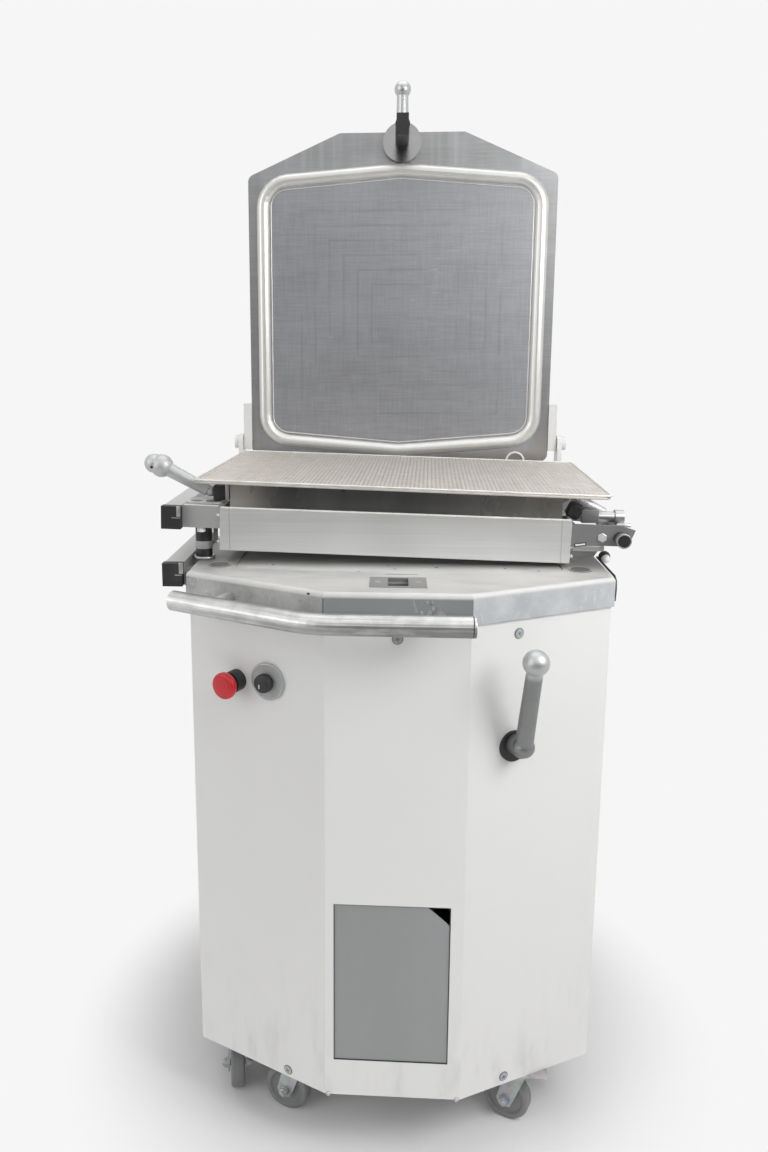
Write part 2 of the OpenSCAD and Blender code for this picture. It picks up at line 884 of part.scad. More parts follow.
// Table
module edge_cut(p, q) {
  d = q - p;
  translate([p[0], p[1], table_z]) rotate([0, 0, atan2(d[1], d[0])]) rotate([90, 0, 90])
    translate([0, 0, -table_r]) linear_extrude(norm(d) + table_r * 2) difference() {
      translate([-over, -table_r]) square([table_r + over, table_r + over]);
      translate([table_r, -table_r]) circle(table_r);
    }
}

module table_top() {
  line = footprint(-table_over, by + table_over);
  color("silver") difference() {
    translate([0, 0, skirt_z]) linear_extrude(table_h) polygon(line);
    difference() {
      translate([0, 0, skirt_z - over]) linear_extrude(table_h - table_t + over)
        polygon(footprint(skirt_t - table_over, by + table_over - skirt_t));
      box(-pocket_w / 2 - pocket_wall, pocket_w / 2 + pocket_wall, slot_y - pocket_w / 2 - pocket_wall,
        slot_y + pocket_w / 2 + pocket_wall, table_z - pocket_deep - pocket_wall, table_z);
    }
    translate([0, 0, skirt_z]) linear_extrude(table_h + over) polygon(tank_line(0));
    for (i = [0 : len(line) - 1]) edge_cut(line[i], line[(i + 1) % len(line)]);
    box(-striker_w / 2, striker_w / 2, slot_y - striker_l / 2, slot_y + striker_l / 2,
      table_z + striker_rise - striker_t, table_z + over);
    box(-pocket_w / 2, pocket_w / 2, slot_y - pocket_w / 2, slot_y + pocket_w / 2, table_z - pocket_deep, table_z);
    both_sides() translate([half_w - plug_side, fy + plug_back, 0])
      bar_z(plug_d / 2, table_z - plug_t, table_z + over);
  }
}

module table_plugs() {
  color("silver") both_sides() translate([half_w - plug_side, fy + plug_back, 0])
    bar_z(plug_d / 2 - base_gap / 2, table_z - plug_t, table_z + plug_rise);
}

module striker_plate() {
  color("silver") difference() {
    box(base_gap - striker_w / 2, striker_w / 2 - base_gap, slot_y - striker_l / 2 + base_gap,
      slot_y + striker_l / 2 - base_gap, table_z + striker_rise - striker_t, table_z + striker_rise);
    box(-slot_w / 2, slot_w / 2, slot_y - slot_l / 2, slot_y + slot_l / 2,
      table_z - striker_t - over, table_z + striker_rise + over);
  }
}

// Tank, pressing plate and ram
module tank() {
  color("grey") translate([0, 0, tank_bot]) linear_extrude(tank_deep) difference() {
    polygon(tank_line(-tank_wall));
    polygon(tank_line(0));
  }
}

module press_plate() {
  color("silver") translate([0, 0, press_z0]) linear_extrude(press_t) polygon(tank_line(press_gap));
}

module plate_seal() {
  color("black") translate([0, 0, press_z0 - seal_t]) linear_extrude(seal_t) difference() {
    polygon(tank_line(seal_gap));
    polygon(tank_line(seal_w));
  }
}

module ram() {
  color("silver") translate([0, tank_mid, 0]) {
    bar_z(ram_d / 2, press_z0 - ram_l, press_z0);
    bar_z(piston_d / 2 - ram_fit, press_z0 - ram_l, press_z0 - ram_l + piston_t);
  }
}

module cylinder_body() {
  translate([0, tank_mid, 0]) difference() {
    bar_z(piston_d / 2 + cyl_wall, cyl_z0, cyl_z1);
    bar_z(piston_d / 2, cyl_z0 + cyl_floor, cyl_z1 - cyl_head);
    bar_z(ram_d / 2 + ram_fit, cyl_z0, cyl_z1 + over);
  }
  translate([0, tank_mid, 0]) bar_z(piston_d / 2, cyl_z0, cyl_z0 + cyl_floor);
}

module cylinder_stand() {
  box(-stand_w / 2, stand_w / 2, tank_mid - stand_w / 2, tank_mid + stand_w / 2, cyl_z0 - stand_t, cyl_z0);
  both_sides() for (y = [tank_mid - stand_w / 2, tank_mid + stand_w / 2 - stand_leg])
    box(stand_w / 2 - stand_leg, stand_w / 2, y, y + stand_leg, base_top, cyl_z0 - stand_t);
}

module pump_unit() {
  color("grey") {
    translate([motor_x, 0, base_top + motor_foot + motor_d / 2]) {
      bar_y(motor_d / 2, motor_y, motor_y + motor_l);
      bar_y(pump_d / 2, motor_y - pump_l, motor_y);
    }
    box(motor_x - motor_foot_w / 2, motor_x + motor_foot_w / 2, motor_y + motor_foot, motor_y + motor_l - motor_foot,
      base_top, base_top + motor_foot + motor_d / 4);
  }
}

module oil_tank() {
  x0 = oil_side - half_w;
  color("grey") {
    difference() {
      box(x0, x0 + oil_w, -oil_l / 2, oil_l / 2, base_top, base_top + oil_h);
      box(x0 + oil_wall, x0 + oil_w - oil_wall, oil_wall - oil_l / 2, oil_l / 2 - oil_wall,
        base_top + oil_wall, base_top + oil_h - oil_wall);
      translate([x0 + oil_w / 2, 0, 0]) bar_z(oil_cap_d / 4, base_top + oil_h - oil_wall - over, base_top + oil_h + over);
    }
    translate([x0 + oil_w / 2, 0, 0]) bar_z(oil_cap_d / 2, base_top + oil_h, base_top + oil_h + oil_cap_h);
  }
}

module valve_block() {
  color("grey") on_facet(1, valve_along, valve_z) difference() {
    translate([-block_w / 2, -block_w / 2, -sheet - block_deep]) cube([block_w, block_w, block_deep]);
    bar_z(valve_shaft / 2 + stem_fit, -sheet - block_deep / 2, over);
  }
}

module cable_gland() {
  color("black") translate([gland_x, 0, cab_z + gland_lift]) difference() {
    union() {
      bar_y(gland_body / 2 - base_gap / 2, by - sheet - over, by + gland_l);
      bar_y(gland_flange / 2, by, by + gland_flange_t);
    }
    bar_y(gland_d / 2, by - sheet - over * 2, by + gland_l + over);
  }
}

// Push handle
handle_z = table_z - handle_drop;
handle_y = fy - handle_off;
handle_crease = front_w / 2 + handle_off * tan(facet_a / 2);
handle_bends = arced([[handle_right, handle_y], [-handle_crease, handle_y],
  [-handle_crease - handle_left * cos(facet_a), handle_y + handle_left * sin(facet_a)]], [0, handle_bend, 0]);
handle_cut = [for (k = [0 : tube_n - 1]) [cos(k * 360 / tube_n), sin(k * 360 / tube_n)] * handle_d / 2];

module push_handle() {
  color("silver") {
    difference() {
      translate([0, 0, handle_z]) sweep(handle_bends, handle_cut, false);
      translate([0, handle_y, handle_z]) bar_x(handle_d / 2 - handle_wall, handle_right - handle_d, handle_right + over);
    }
    translate([post_x, 0, handle_z]) bar_y(post_d / 2, handle_y, fy - table_over);
    on_facet(-1, post_along, handle_z) bar_z(post_d / 2, table_over, handle_off);
  }
}

// Switches and valve lever
module estop_collar() {
  color("black") on_facet(-1, estop_along, estop_z) difference() {
    bar_z(collar_d / 2, 0, collar_l);
    bar_z(stem_d / 2 + stem_fit, -over, collar_l + over);
  }
}

module estop_head() {
  dome = (mush_d * mush_d / 4 + mush_dome * mush_dome) / (mush_dome * 2);
  foot = collar_l + mush_gap;
  color("red") on_facet(-1, estop_along, estop_z) {
    bar_z(stem_d / 2, -sheet, foot);
    bar_z(mush_d / 2, foot, foot + mush_rim);
    intersection() {
      translate([0, 0, foot + mush_rim + mush_dome - dome]) sphere(dome);
      bar_z(mush_d / 2, foot + mush_rim, foot + mush_rim + mush_dome);
    }
  }
}

module start_plate() {
  color("grey") on_facet(-1, start_along, switch_z) difference() {
    bar_z(disc_d / 2, 0, disc_t);
    bar_z(stem_d / 2 + stem_fit, -over, disc_t + over);
  }
}

module start_knob() {
  foot = disc_t + knob_gap;
  color("black") on_facet(-1, start_along, switch_z) {
    bar_z(stem_d / 2, -sheet, foot);
    bar_z(knob_d / 2, foot, foot + knob_h * (1 - grip_share));
    intersection() {
      bar_z(knob_d / 2, foot, foot + knob_h);
      translate([-grip_t / 2, -knob_d / 2, foot]) cube([grip_t, knob_d, knob_h]);
    }
  }
}

module lever_grommet() {
  color("black") on_facet(1, valve_along, valve_z) difference() {
    bar_z(grommet_d / 2, 0, grommet_t);
    bar_z(valve_shaft / 2 + stem_fit, -over, grommet_t + over);
  }
}

module valve_lever() {
  color("silver") on_facet(1, valve_along, valve_z) {
    bar_z(valve_shaft / 2, -sheet - block_deep / 2 + over, grommet_t + knob_gap);
    bar_z(hub_d / 2, grommet_t + knob_gap, hub_l);
    translate([0, 0, hub_l]) intersection() {
      sphere(hub_d / 2);
      bar_z(hub_d / 2, 0, hub_d / 2);
    }
    translate([0, 0, hub_l]) rotate([0, 0, valve_turn]) rotate([valve_lean - 90, 0, 0])
      lever(valve_len, valve_r0, valve_r1, valve_ball);
  }
}

// Lid
lid_line = [[-lid_w / 2, -lid_low], [lid_w / 2, -lid_low], [lid_w / 2, lid_shoulder],
  [lid_top_w / 2, lid_top], [-lid_top_w / 2, lid_top], [-lid_w / 2, lid_shoulder]];

module lid_plate() {
  color("silver") on_lid() difference() {
    wall_xz(lid_y0, lid_y1) polygon(arced(lid_line, [lid_r, lid_r, lid_r, lid_r, lid_r, lid_r]));
    translate([0, 0, latch_up]) bar_y(latch_sleeve, lid_y0 - over, lid_y1 + over);
  }
}

// Bead: a round segment swept along the six-sided line with arcs at its corners
bead_line = arced(six(bead_half, -bead_low, bead_top, bead_v), [bead_r, bead_r, bead_r, bead_r, bead_r, bead_r]);
bead_round = (bead_h * bead_h + bead_w * bead_w / 4) / (bead_h * 2);
bead_arc = asin(bead_w / 2 / bead_round);
bead_cut = [for (k = [0 : bead_n]) let (w = bead_arc - bead_arc * 2 * k / bead_n)
  [bead_round * sin(w), bead_h - bead_round + bead_round * cos(w)]];

module lid_bead() {
  color("silver") on_lid() translate([0, lid_y0, 0]) rotate([90, 0, 0]) sweep(bead_line, bead_cut, true);
}

module lid_arms() {
  color("white") on_lid() both_sides() difference() {
    box(lid_w / 2, lid_w / 2 + arm_w, hinge_y - arm_t / 2, hinge_y + arm_t / 2, -arm_down, arm_up);
    translate([0, hinge_y, 0]) bar_x(hpin_d / 2 + hinge_fit, lid_w / 2 - over, lid_w / 2 + arm_w + over);
  }
}

upright_x = lid_w / 2 + arm_w + arm_gap;

module hinge_uprights() {
  y0 = hinge_y - upright_foot / 2;
  y1 = hinge_y + upright_foot / 2;
  color("white") both_sides() difference() {
    union() {
      wall_yz(upright_x, upright_x + upright_t) polygon([[y0, table_z], [y1, table_z],
        [hinge_y + upright_r, hinge_z], [hinge_y - upright_r, hinge_z]]);
      translate([0, hinge_y, hinge_z]) bar_x(upright_r, upright_x, upright_x + upright_t);
      box(min(upright_x, side_out) - upright_foot_w, upright_x, y0, y1, table_z, table_z + upright_foot_t);
    }
    translate([0, hinge_y, hinge_z]) bar_x(hpin_d / 2 + hinge_fit, upright_x - over, upright_x + upright_t + over);
  }
}

module hinge_pins() {
  color("white") both_sides() translate([0, hinge_y, hinge_z]) {
    bar_x(hpin_d / 2, lid_w / 2 + over, upright_x + upright_t);
    bar_x(hpin_head, upright_x + upright_t, upright_x + upright_t + hpin_head_t);
  }
}

module latch_hub() {
  color("silver") translate([0, 0, latch_z]) difference() {
    union() {
      bar_y(latch_hub_r, lid_y0 - latch_hub_t, lid_y0);
      bar_y(latch_sleeve - base_gap / 2, lid_y0, lid_y1);
    }
    bar_y(latch_d / 2 + hinge_fit, lid_y0 - latch_hub_t - over, lid_y1 + over);
  }
}

module latch_bolt() {
  color("black") translate([0, 0, latch_z]) {
    bar_y(latch_d / 2, bolt_front, lid_y1 + latch_back);
    box(-cross_w / 2, cross_w / 2, bolt_front, bolt_front + cross_t, -cross_l / 2, cross_l / 2);
  }
}

module latch_lever() {
  y0 = lid_y1 + boss_gap;
  y1 = lid_y1 + latch_back;
  color("silver") translate([0, 0, latch_z]) difference() {
    union() {
      bar_y(boss_r, y0, y1 + over);
      translate([0, (y0 + y1) / 2, 0]) lever(latch_len, latch_lever_r, latch_lever_r1, latch_ball);
    }
    bar_y(latch_d / 2, y0 - over, y1);
  }
}

// Dividing head
module head_frame() {
  color("silver") on_head() difference() {
    box(head_x0, head_x1, head_y0, head_y1, head_z, head_z + apron_h);
    box(head_x0 + head_t, head_x1 - head_t, head_y0 + head_t, head_y1 - head_t,
      head_z + head_t, head_z + apron_h + over);
    box(head_x0 + ledge_w, head_x1 - ledge_w, head_y0 + ledge_w, head_y1 - ledge_w,
      head_z - over, head_z + apron_h);
    translate([0, pull_y, pull_z]) bar_x(pull_d / 2 + nose_gap, head_x1 - head_t - over, head_x1 + over);
  }
}

module cassette() {
  color("silver") on_head() difference() {
    box(cass_x0, cass_x1, cass_y0, cass_y1, cass_z, cass_top);
    box(cass_x0 + cass_t, cass_x1 - cass_t, cass_y0 + cass_t, cass_y1 - cass_t, cass_z - over, cass_top + over);
    translate([0, pull_y, pull_z]) bar_x(nose_d / 2 + nose_gap, cass_x1 - cass_t - over, cass_x1 + over);
  }
}

module knife_grid() {
  x0 = cass_x0 + cass_t + knife_gap;
  x1 = cass_x1 - cass_t - knife_gap;
  y0 = cass_y0 + cass_t + knife_gap;
  y1 = cass_y1 - cass_t - knife_gap;
  z0 = cass_z + knife_lift;
  color("silver") on_head() {
    for (i = [1 : knife_nx]) {
      x = x0 + (x1 - x0) * i / (knife_nx + 1);
      box(x - knife_t / 2, x + knife_t / 2, y0, y1, z0, z0 + knife_h);
    }
    for (i = [1 : knife_ny]) {
      y = y0 + (y1 - y0) * i / (knife_ny + 1);
      box(x0, x1, y - knife_t / 2, y + knife_t / 2, z0, z0 + knife_h);
    }
  }
}

module tray_line(d) {
  polygon(arced([[d - tray_w / 2, d - tray_l / 2], [tray_w / 2 - d, d - tray_l / 2],
    [tray_w / 2 - d, tray_l / 2 - d], [d - tray_w / 2, tray_l / 2 - d]],
    [tray_r - d, tray_r - d, tray_r - d, tray_r - d]));
}

module mesh_tray() {
  cw = (tray_w - tray_rim * 2) / mesh_nx;
  cl = (tray_l - tray_rim * 2) / mesh_ny;
  color("silver") on_head() translate([tray_dx, tray_y0 + tray_l / 2, cass_top]) rotate([0, 0, tray_turn]) {
    linear_extrude(tray_rim) difference() {
      tray_line(0);
      tray_line(tray_rim);
    }
    linear_extrude(mesh_t) difference() {
      tray_line(tray_rim / 2);
      for (i = [0 : mesh_nx - 1]) for (j = [0 : mesh_ny - 1])
        translate([tray_rim - tray_w / 2 + i * cw + strand / 2, tray_rim - tray_l / 2 + j * cl + strand / 2])
          square([cw - strand, cl - strand]);
    }
  }
}

module head_bracket() {
  color("grey") on_head() difference() {
    box(brk_x0, brk_x1, brk_y0, brk_y0 + brk_l, brk_z, brk_z + brk_h);
    box(brk_x0 + brk_t, brk_x1 - brk_t, brk_y0 + brk_t, brk_y0 + brk_l + over, brk_z + brk_t, brk_z + brk_h - brk_t);
    for (x = [oval_x - oval_span / 2, oval_x + oval_span / 2])
      translate([x, clamp_y, 0]) bar_z(oval_hole / 2, brk_z + brk_h - brk_t - over, brk_z + brk_h + over);
  }
}

module rail(x0, y0, z0, l) {
  difference() {
    box(x0, x0 + rail_w, y0, y0 + l, z0, z0 + rail_h);
    box(x0 + rail_t, x0 + rail_w - rail_t, y0 - over, y0 + l + over, z0 + rail_t, z0 + rail_h - rail_t);
  }
}

module rail_plug(x0, y0, z0) {
  in = rail_t + base_gap;
  box(x0 - cap_edge, x0 + rail_w, y0 - cap_l, y0, z0 - cap_edge, z0 + rail_h + cap_edge);
  box(x0 + in, x0 + rail_w - in, y0, y0 + cap_l, z0 + in, z0 + rail_h - in);
}

module upper_rail() {
  color("silver") on_head() rail(brk_x0 - rail_w, brk_y0, brk_z, rail_l);
}

module upper_cap() {
  color("black") on_head() rail_plug(brk_x0 - rail_w, brk_y0, brk_z);
}

module oval_plate() {
  z0 = brk_z + brk_h;
  color("silver") on_head() difference() {
    union() {
      box(oval_x - oval_l / 2 + oval_w / 2, oval_x + oval_l / 2 - oval_w / 2, clamp_y - oval_w / 2,
        clamp_y + oval_w / 2, z0, z0 + oval_t);
      for (x = [oval_x - oval_l / 2 + oval_w / 2, oval_x + oval_l / 2 - oval_w / 2])
        translate([x, clamp_y, 0]) bar_z(oval_w / 2, z0, z0 + oval_t);
    }
    for (x = [oval_x - oval_span / 2, oval_x + oval_span / 2])
      translate([x, clamp_y, 0]) bar_z(oval_hole / 2, z0 - over, z0 + oval_t + over);
  }
}

module lever_bush() {
  color("black") on_head() difference() {
    union() {
      translate([0, clamp_y, clamp_z]) bar_x(bush_r, bush_x0, bush_x1);
      box(bush_x0, bush_x1, clamp_y - bush_r, clamp_y + bush_r, clamp_z - clamp_up, clamp_z);
    }
    translate([0, clamp_y, clamp_z]) bar_x(clamp_shaft / 2 + stem_fit, bush_x0 - over, bush_x1 + over);
  }
}

module clamp_lever() {
  cam_x0 = bush_x1 + fork_gap;
  root = bush_x0 - fork_gap - clamp_root;
  color("silver") on_head() translate([0, clamp_y, clamp_z]) {
    bar_x(clamp_shaft / 2, bush_x0 - fork_gap * 2, cam_x0 + cam_t);
    translate([0, 0, cam_off]) bar_x(cam_r, cam_x0, cam_x0 + cam_t);
    bar_x(clamp_root, root - clamp_root, bush_x0 - fork_gap);
    translate([root, 0, 0]) rotate([0, clamp_slope - 90, 0]) lever(clamp_len, clamp_r0, clamp_r1, clamp_ball);
  }
}

module hinge_plate(y0) {
  wall_xz(y0, y0 + hplate_t) polygon([[head_x1, pin_z - hplate_low], [pin_x, pin_z - hplate_low],
    [pin_x + hplate_out * 2 / 3, pin_z - hplate_low / 2], [pin_x + hplate_out, pin_z + hplate_up * 2 / 3],
    [pin_x, pin_z + hplate_up], [head_x1, pin_z + hplate_up]]);
}

module hinge_plates() {
  x0 = head_x1;
  color("grey") on_head() difference() {
    union() {
      hinge_plate(head_y0);
      hinge_plate(rear_plate_y);
      box(x0, x0 + hplate_t, head_y0, head_y0 + hflange_l, pin_z - hplate_low, pin_z + hplate_up);
      box(x0, x0 + hplate_t, rear_plate_y, rear_plate_y + rear_plate, pin_z - hplate_low, pin_z + hplate_up);
    }
    translate([pin_x, 0, pin_z]) bar_y(pin_d / 2 + hinge_fit, head_y0 - over, head_y1 + over);
  }
}

module lug(y0) {
  x0 = head_x1 + lug_foot;
  difference() {
    union() {
      wall_xz(y0, y0 + lug_t) polygon([[x0, table_z], [half_w, table_z], [pin_x, pin_z - lug_r],
        [pin_x - lug_r, pin_z], [x0, table_z + lug_foot_h]]);
      translate([pin_x, 0, pin_z]) bar_y(lug_r, y0, y0 + lug_t);
    }
    translate([pin_x, 0, pin_z]) bar_y(pin_d / 2 + hinge_fit, y0 - over, y0 + lug_t + over);
  }
}

module hinge_lugs() {
  color("silver") {
    lug(front_lug_y);
    lug(rear_lug_y);
  }
}

module head_pin() {
  color("black") translate([pin_x, 0, pin_z]) {
    bar_y(pin_d / 2, head_y0 - over, rear_plate_y + hplate_t + lug_gap);
    bar_y(pin_end_d / 2, head_y0 - over - pin_end_l, head_y0 - over);
    translate([0, head_y0 - over - pin_end_l, 0]) intersection() {
      sphere(pin_end_d / 2);
      bar_y(pin_end_d / 2, -pin_end_d / 2, 0);
    }
  }
}

module guide_block() {
  color("black") on_head() difference() {
    box(guide_x0, guide_x1, pull_y - guide_w / 2, pull_y + guide_w / 2, pull_z - guide_h, pull_z + guide_h);
    translate([0, pull_y, pull_z]) bar_x(pull_d / 2 + pull_fit, guide_x0 - over, guide_x1 + over);
  }
}

module pull_pin() {
  x1 = pin_x + pull_out;
  color("silver") on_head() translate([0, pull_y, pull_z]) {
    bar_x(nose_d / 2, cass_x1 - cass_t - over, guide_x0);
    bar_x(pull_d / 2, guide_x0, x1);
    bar_x(pull_collar / 2, x1 - pull_collar_l, x1);
  }
}

module lower_rail() {
  y0 = fy + low_rail_front;
  color("silver") {
    rail(low_rail_x0, y0, low_rail_z, low_rail_l);
    for (y = [y0, y0 + low_rail_l - low_plate_l])
      box(low_rail_x1, low_rail_x1 + low_rail_gap, y, y + low_plate_l, low_rail_z - rail_t, table_z - table_r);
  }
}

module lower_cap() {
  color("black") rail_plug(low_rail_x0, fy + low_rail_front, low_rail_z);
}

module rest_post() {
  color("black") translate([rest_x, rest_y, 0]) {
    bar_z(rest_d / 2, table_z, rest_top - rest_cap - neck_h);
    bar_z(neck_d / 2, table_z, rest_top);
    bar_z(rest_d / 2, rest_top - rest_cap, rest_top);
  }
}

// Casters
module caster_plates() {
  color("grey") for (c = casters) translate([c[0], c[1], 0]) difference() {
    box(-cplate_w / 2, cplate_w / 2, -cplate_w / 2, cplate_w / 2, cplate_z, cab_z);
    bar_z(king_d / 2 + axle_fit, cplate_z - over, cab_z + over);
  }
}

// Fork with kingpin and axle, trailing towards local +x
module fork(at, turn) {
  color("silver") translate([at[0], at[1], 0]) rotate([0, 0, turn]) {
    bar_z(crown_r, crown_z, crown_z + crown_t);
    bar_z(king_d / 2, crown_z, cab_z);
    for (s = [-1, 1]) {
      y0 = s > 0 ? fork_half : -fork_half - fork_t;
      wall_xz(y0, y0 + fork_t) polygon([[-crown_r * 2 / 3, crown_z], [crown_r * 2 / 3, crown_z],
        [trail + fork_leg / 2, wheel_r], [trail + axle_head, wheel_r - axle_head - fork_t],
        [trail - axle_head, wheel_r - axle_head - fork_t], [trail - fork_leg / 2, wheel_r]]);
      translate([trail, 0, wheel_r]) bar_y(axle_head, s > 0 ? fork_half + fork_t : -fork_half - fork_t - axle_head_t,
        s > 0 ? fork_half + fork_t + axle_head_t : -fork_half - fork_t);
    }
    translate([trail, 0, wheel_r]) bar_y(axle_d / 2, -fork_half - over, fork_half + over);
  }
}

module wheel(at, turn) {
  color("grey") translate([at[0], at[1], 0]) rotate([0, 0, turn]) translate([trail, 0, wheel_r]) difference() {
    bar_y(wheel_r, -wheel_w / 2, wheel_w / 2);
    for (s = [-1, 1]) difference() {
      bar_y(wheel_r * 2 / 3, s > 0 ? wheel_w / 2 - wheel_dish : -wheel_w / 2 - over,
        s > 0 ? wheel_w / 2 + over : wheel_dish - wheel_w / 2);
      bar_y(axle_head + fork_gap, -wheel_w, wheel_w);
    }
    bar_y(axle_d / 2 + axle_fit, -wheel_w, wheel_w);
  }
}

front_panel();
rear_panel();
base_frame();
access_panel();
table_top();
table_plugs();
striker_plate();
tank();
press_plate();
plate_seal();
ram();
color("grey") cylinder_body();  // cylinder
pump_unit();
oil_tank();
valve_block();
cable_gland();
push_handle();
estop_collar();
estop_head();
start_plate();
start_knob();
lever_grommet();
valve_lever();
lid_plate();
lid_bead();
lid_arms();
hinge_uprights();
hinge_pins();
latch_hub();
latch_bolt();
latch_lever();
head_frame();
cassette();
knife_grid();
mesh_tray();
head_bracket();
upper_rail();
upper_cap();
oval_plate();
lever_bush();
clamp_lever();
hinge_plates();
hinge_lugs();
head_pin();
guide_block();
pull_pin();
lower_rail();
lower_cap();
rest_post();
caster_plates();
fork(caster_fl, fl_turn);  // fork_front_left
fork(caster_ll, ll_turn);  // fork_left
fork(caster_fr, fr_turn);  // fork_front_right
fork(caster_rl, rear_turn);  // fork_rear_left
fork(caster_rr, rear_turn);  // fork_rear_right
wheel(caster_fl, fl_turn);  // wheel_front_left
wheel(caster_ll, ll_turn);  // wheel_left
wheel(caster_fr, fr_turn);  // wheel_front_right
wheel(caster_rl, rear_turn);  // wheel_rear_left
wheel(caster_rr, rear_turn);  // wheel_rear_right
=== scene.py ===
"""Finishes, small fittings and studio for the dough divider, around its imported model."""

import json
import math

import bmesh
import bpy
from bpy.props import FloatProperty, FloatVectorProperty, IntProperty, PointerProperty
from mathutils import Matrix, Vector


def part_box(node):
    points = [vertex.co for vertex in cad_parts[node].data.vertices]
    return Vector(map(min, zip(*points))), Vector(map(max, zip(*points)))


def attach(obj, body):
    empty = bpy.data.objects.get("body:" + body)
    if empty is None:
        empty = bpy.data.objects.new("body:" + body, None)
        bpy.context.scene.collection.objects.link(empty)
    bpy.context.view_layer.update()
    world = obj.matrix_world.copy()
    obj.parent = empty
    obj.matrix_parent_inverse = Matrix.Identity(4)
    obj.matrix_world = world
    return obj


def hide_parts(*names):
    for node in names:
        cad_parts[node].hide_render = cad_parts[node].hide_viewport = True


bl_info = {
    "name": "Dough divider dressing",
    "version": (1, 0, 0),
    "blender": (4, 5, 0),
    "location": "3D View > Sidebar > Divider",
    "description": "Finishes, fittings and studio for a dough divider on casters",
    "category": "Object",
}

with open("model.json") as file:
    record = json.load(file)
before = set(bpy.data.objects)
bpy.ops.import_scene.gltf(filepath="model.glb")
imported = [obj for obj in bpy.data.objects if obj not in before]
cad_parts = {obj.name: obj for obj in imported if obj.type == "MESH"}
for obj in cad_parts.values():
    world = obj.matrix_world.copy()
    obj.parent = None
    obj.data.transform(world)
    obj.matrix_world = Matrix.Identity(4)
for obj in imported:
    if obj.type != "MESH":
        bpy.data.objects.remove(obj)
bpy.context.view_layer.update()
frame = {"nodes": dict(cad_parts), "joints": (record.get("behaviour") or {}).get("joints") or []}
NODES = frame["nodes"]
JOINTS = {joint["name"]: joint for joint in frame["joints"]}
WHEELS = ("front_left", "left", "front_right", "rear_left", "rear_right")
SIDES = (-1, 1)
FRONT, UP, RIGHT = (0, -1, 0), (0, 0, 1), (1, 0, 0)

# The slanted facets face along the valve lever's and the stop button's axes
RIGHT_OUT = Vector(JOINTS["valve_turn"]["axis"])
LEFT_OUT = -Vector(JOINTS["stop_press"]["axis"])
# The head rests tilted about its hinge pin
HEAD_X = Vector(JOINTS["pull_slide"]["axis"])
HEAD_PIN = Vector(JOINTS["head_hinge"]["pos_m"])
HEAD_LEAN = Matrix.Rotation(math.atan2(-HEAD_X.z, HEAD_X.x), 4, "Y")
# Half the width of the middle facet
CREASE = 0.097
# Edges that turn by more degrees stay sharp: on boxes and turned pieces, on wires and balls
SHARP, SOFT = 40, 60
# A fitting's finish and its slot in the record
BLACK = "black_plastic", "black_plastic"
ZINC = "zinc", "zinc"
PALE = "pale_zinc", "zinc"
DARK = "dark_plate", "dark_steel"
WHITE = "mark_white", "white_paint"
RAIL = "rail_steel", "rail_alu"


def points_of(node):
    """The points of a CAD piece."""
    piece = NODES[node]
    return [piece.matrix_world @ vertex.co for vertex in piece.data.vertices]


def level_box(node):
    """The box of a piece of the head with the head level."""
    back = HEAD_LEAN.to_3x3().inverted()
    spots = [HEAD_PIN + back @ (spot - HEAD_PIN) for spot in points_of(node)]
    return [Vector([choose(spot[axis] for spot in spots) for axis in range(3)]) for choose in (min, max)]


def furthest(node, out):
    """The point of a CAD piece that reaches furthest in a direction."""
    spots = points_of(node)
    reach, slack = max(spot.dot(out) for spot in spots), 0.0001
    far = [spot for spot in spots if spot.dot(out) > reach - slack]
    return sum(far, Vector()) / len(far)


def colour(name, description, default):
    """A colour the user can change."""
    return FloatVectorProperty(
        name=name, description=description, default=default, subtype="COLOR", size=3, min=0, max=1,
    )


def length(name, description, default):
    """A length the user can change, in metres."""
    return FloatProperty(name=name, description=description, default=default, unit="LENGTH", precision=4)


def number(name, description, default, **options):
    """Any other number the user can change."""
    return FloatProperty(name=name, description=description, default=default, **options)


def count(name, description, default, most):
    """A count the user can change."""
    return IntProperty(name=name, description=description, default=default, min=10, max=most)


class DividerColours(bpy.types.PropertyGroup):
    """Base colours of the finishes"""

    white: colour("Cabinet white", "Powder coat of the cabinet", (0.80, 0.80, 0.785))
    panel: colour("Access panel", "Grey panel in the front opening", (0.315, 0.328, 0.328))
    brushed: colour("Brushed steel", "Apron, bracket and rails", (0.56, 0.56, 0.555))
    lid: colour("Lid plate", "Brushed and scratched lid", (0.47, 0.475, 0.48))
    bead: colour("Bead", "Bright bead ring of the lid", (0.80, 0.795, 0.77))
    table: colour("Table", "Worn cast table", (0.60, 0.60, 0.59))
    tray: colour("Tray", "Dull warm mesh", (0.60, 0.565, 0.52))
    lever: colour("Levers", "Cast ball levers", (0.52, 0.53, 0.53))
    dark: colour("Dark steel", "Hinge plates", (0.27, 0.27, 0.27))
    black: colour("Black", "Plastic caps, bushes and knobs", (0.018, 0.018, 0.02))
    red: colour("Stop red", "Emergency stop button", (0.60, 0.011, 0.018))
    wheel: colour("Wheels", "Grey treads", (0.235, 0.238, 0.240))
    zinc: colour("Zinc", "Caster forks and plates", (0.50, 0.51, 0.51))


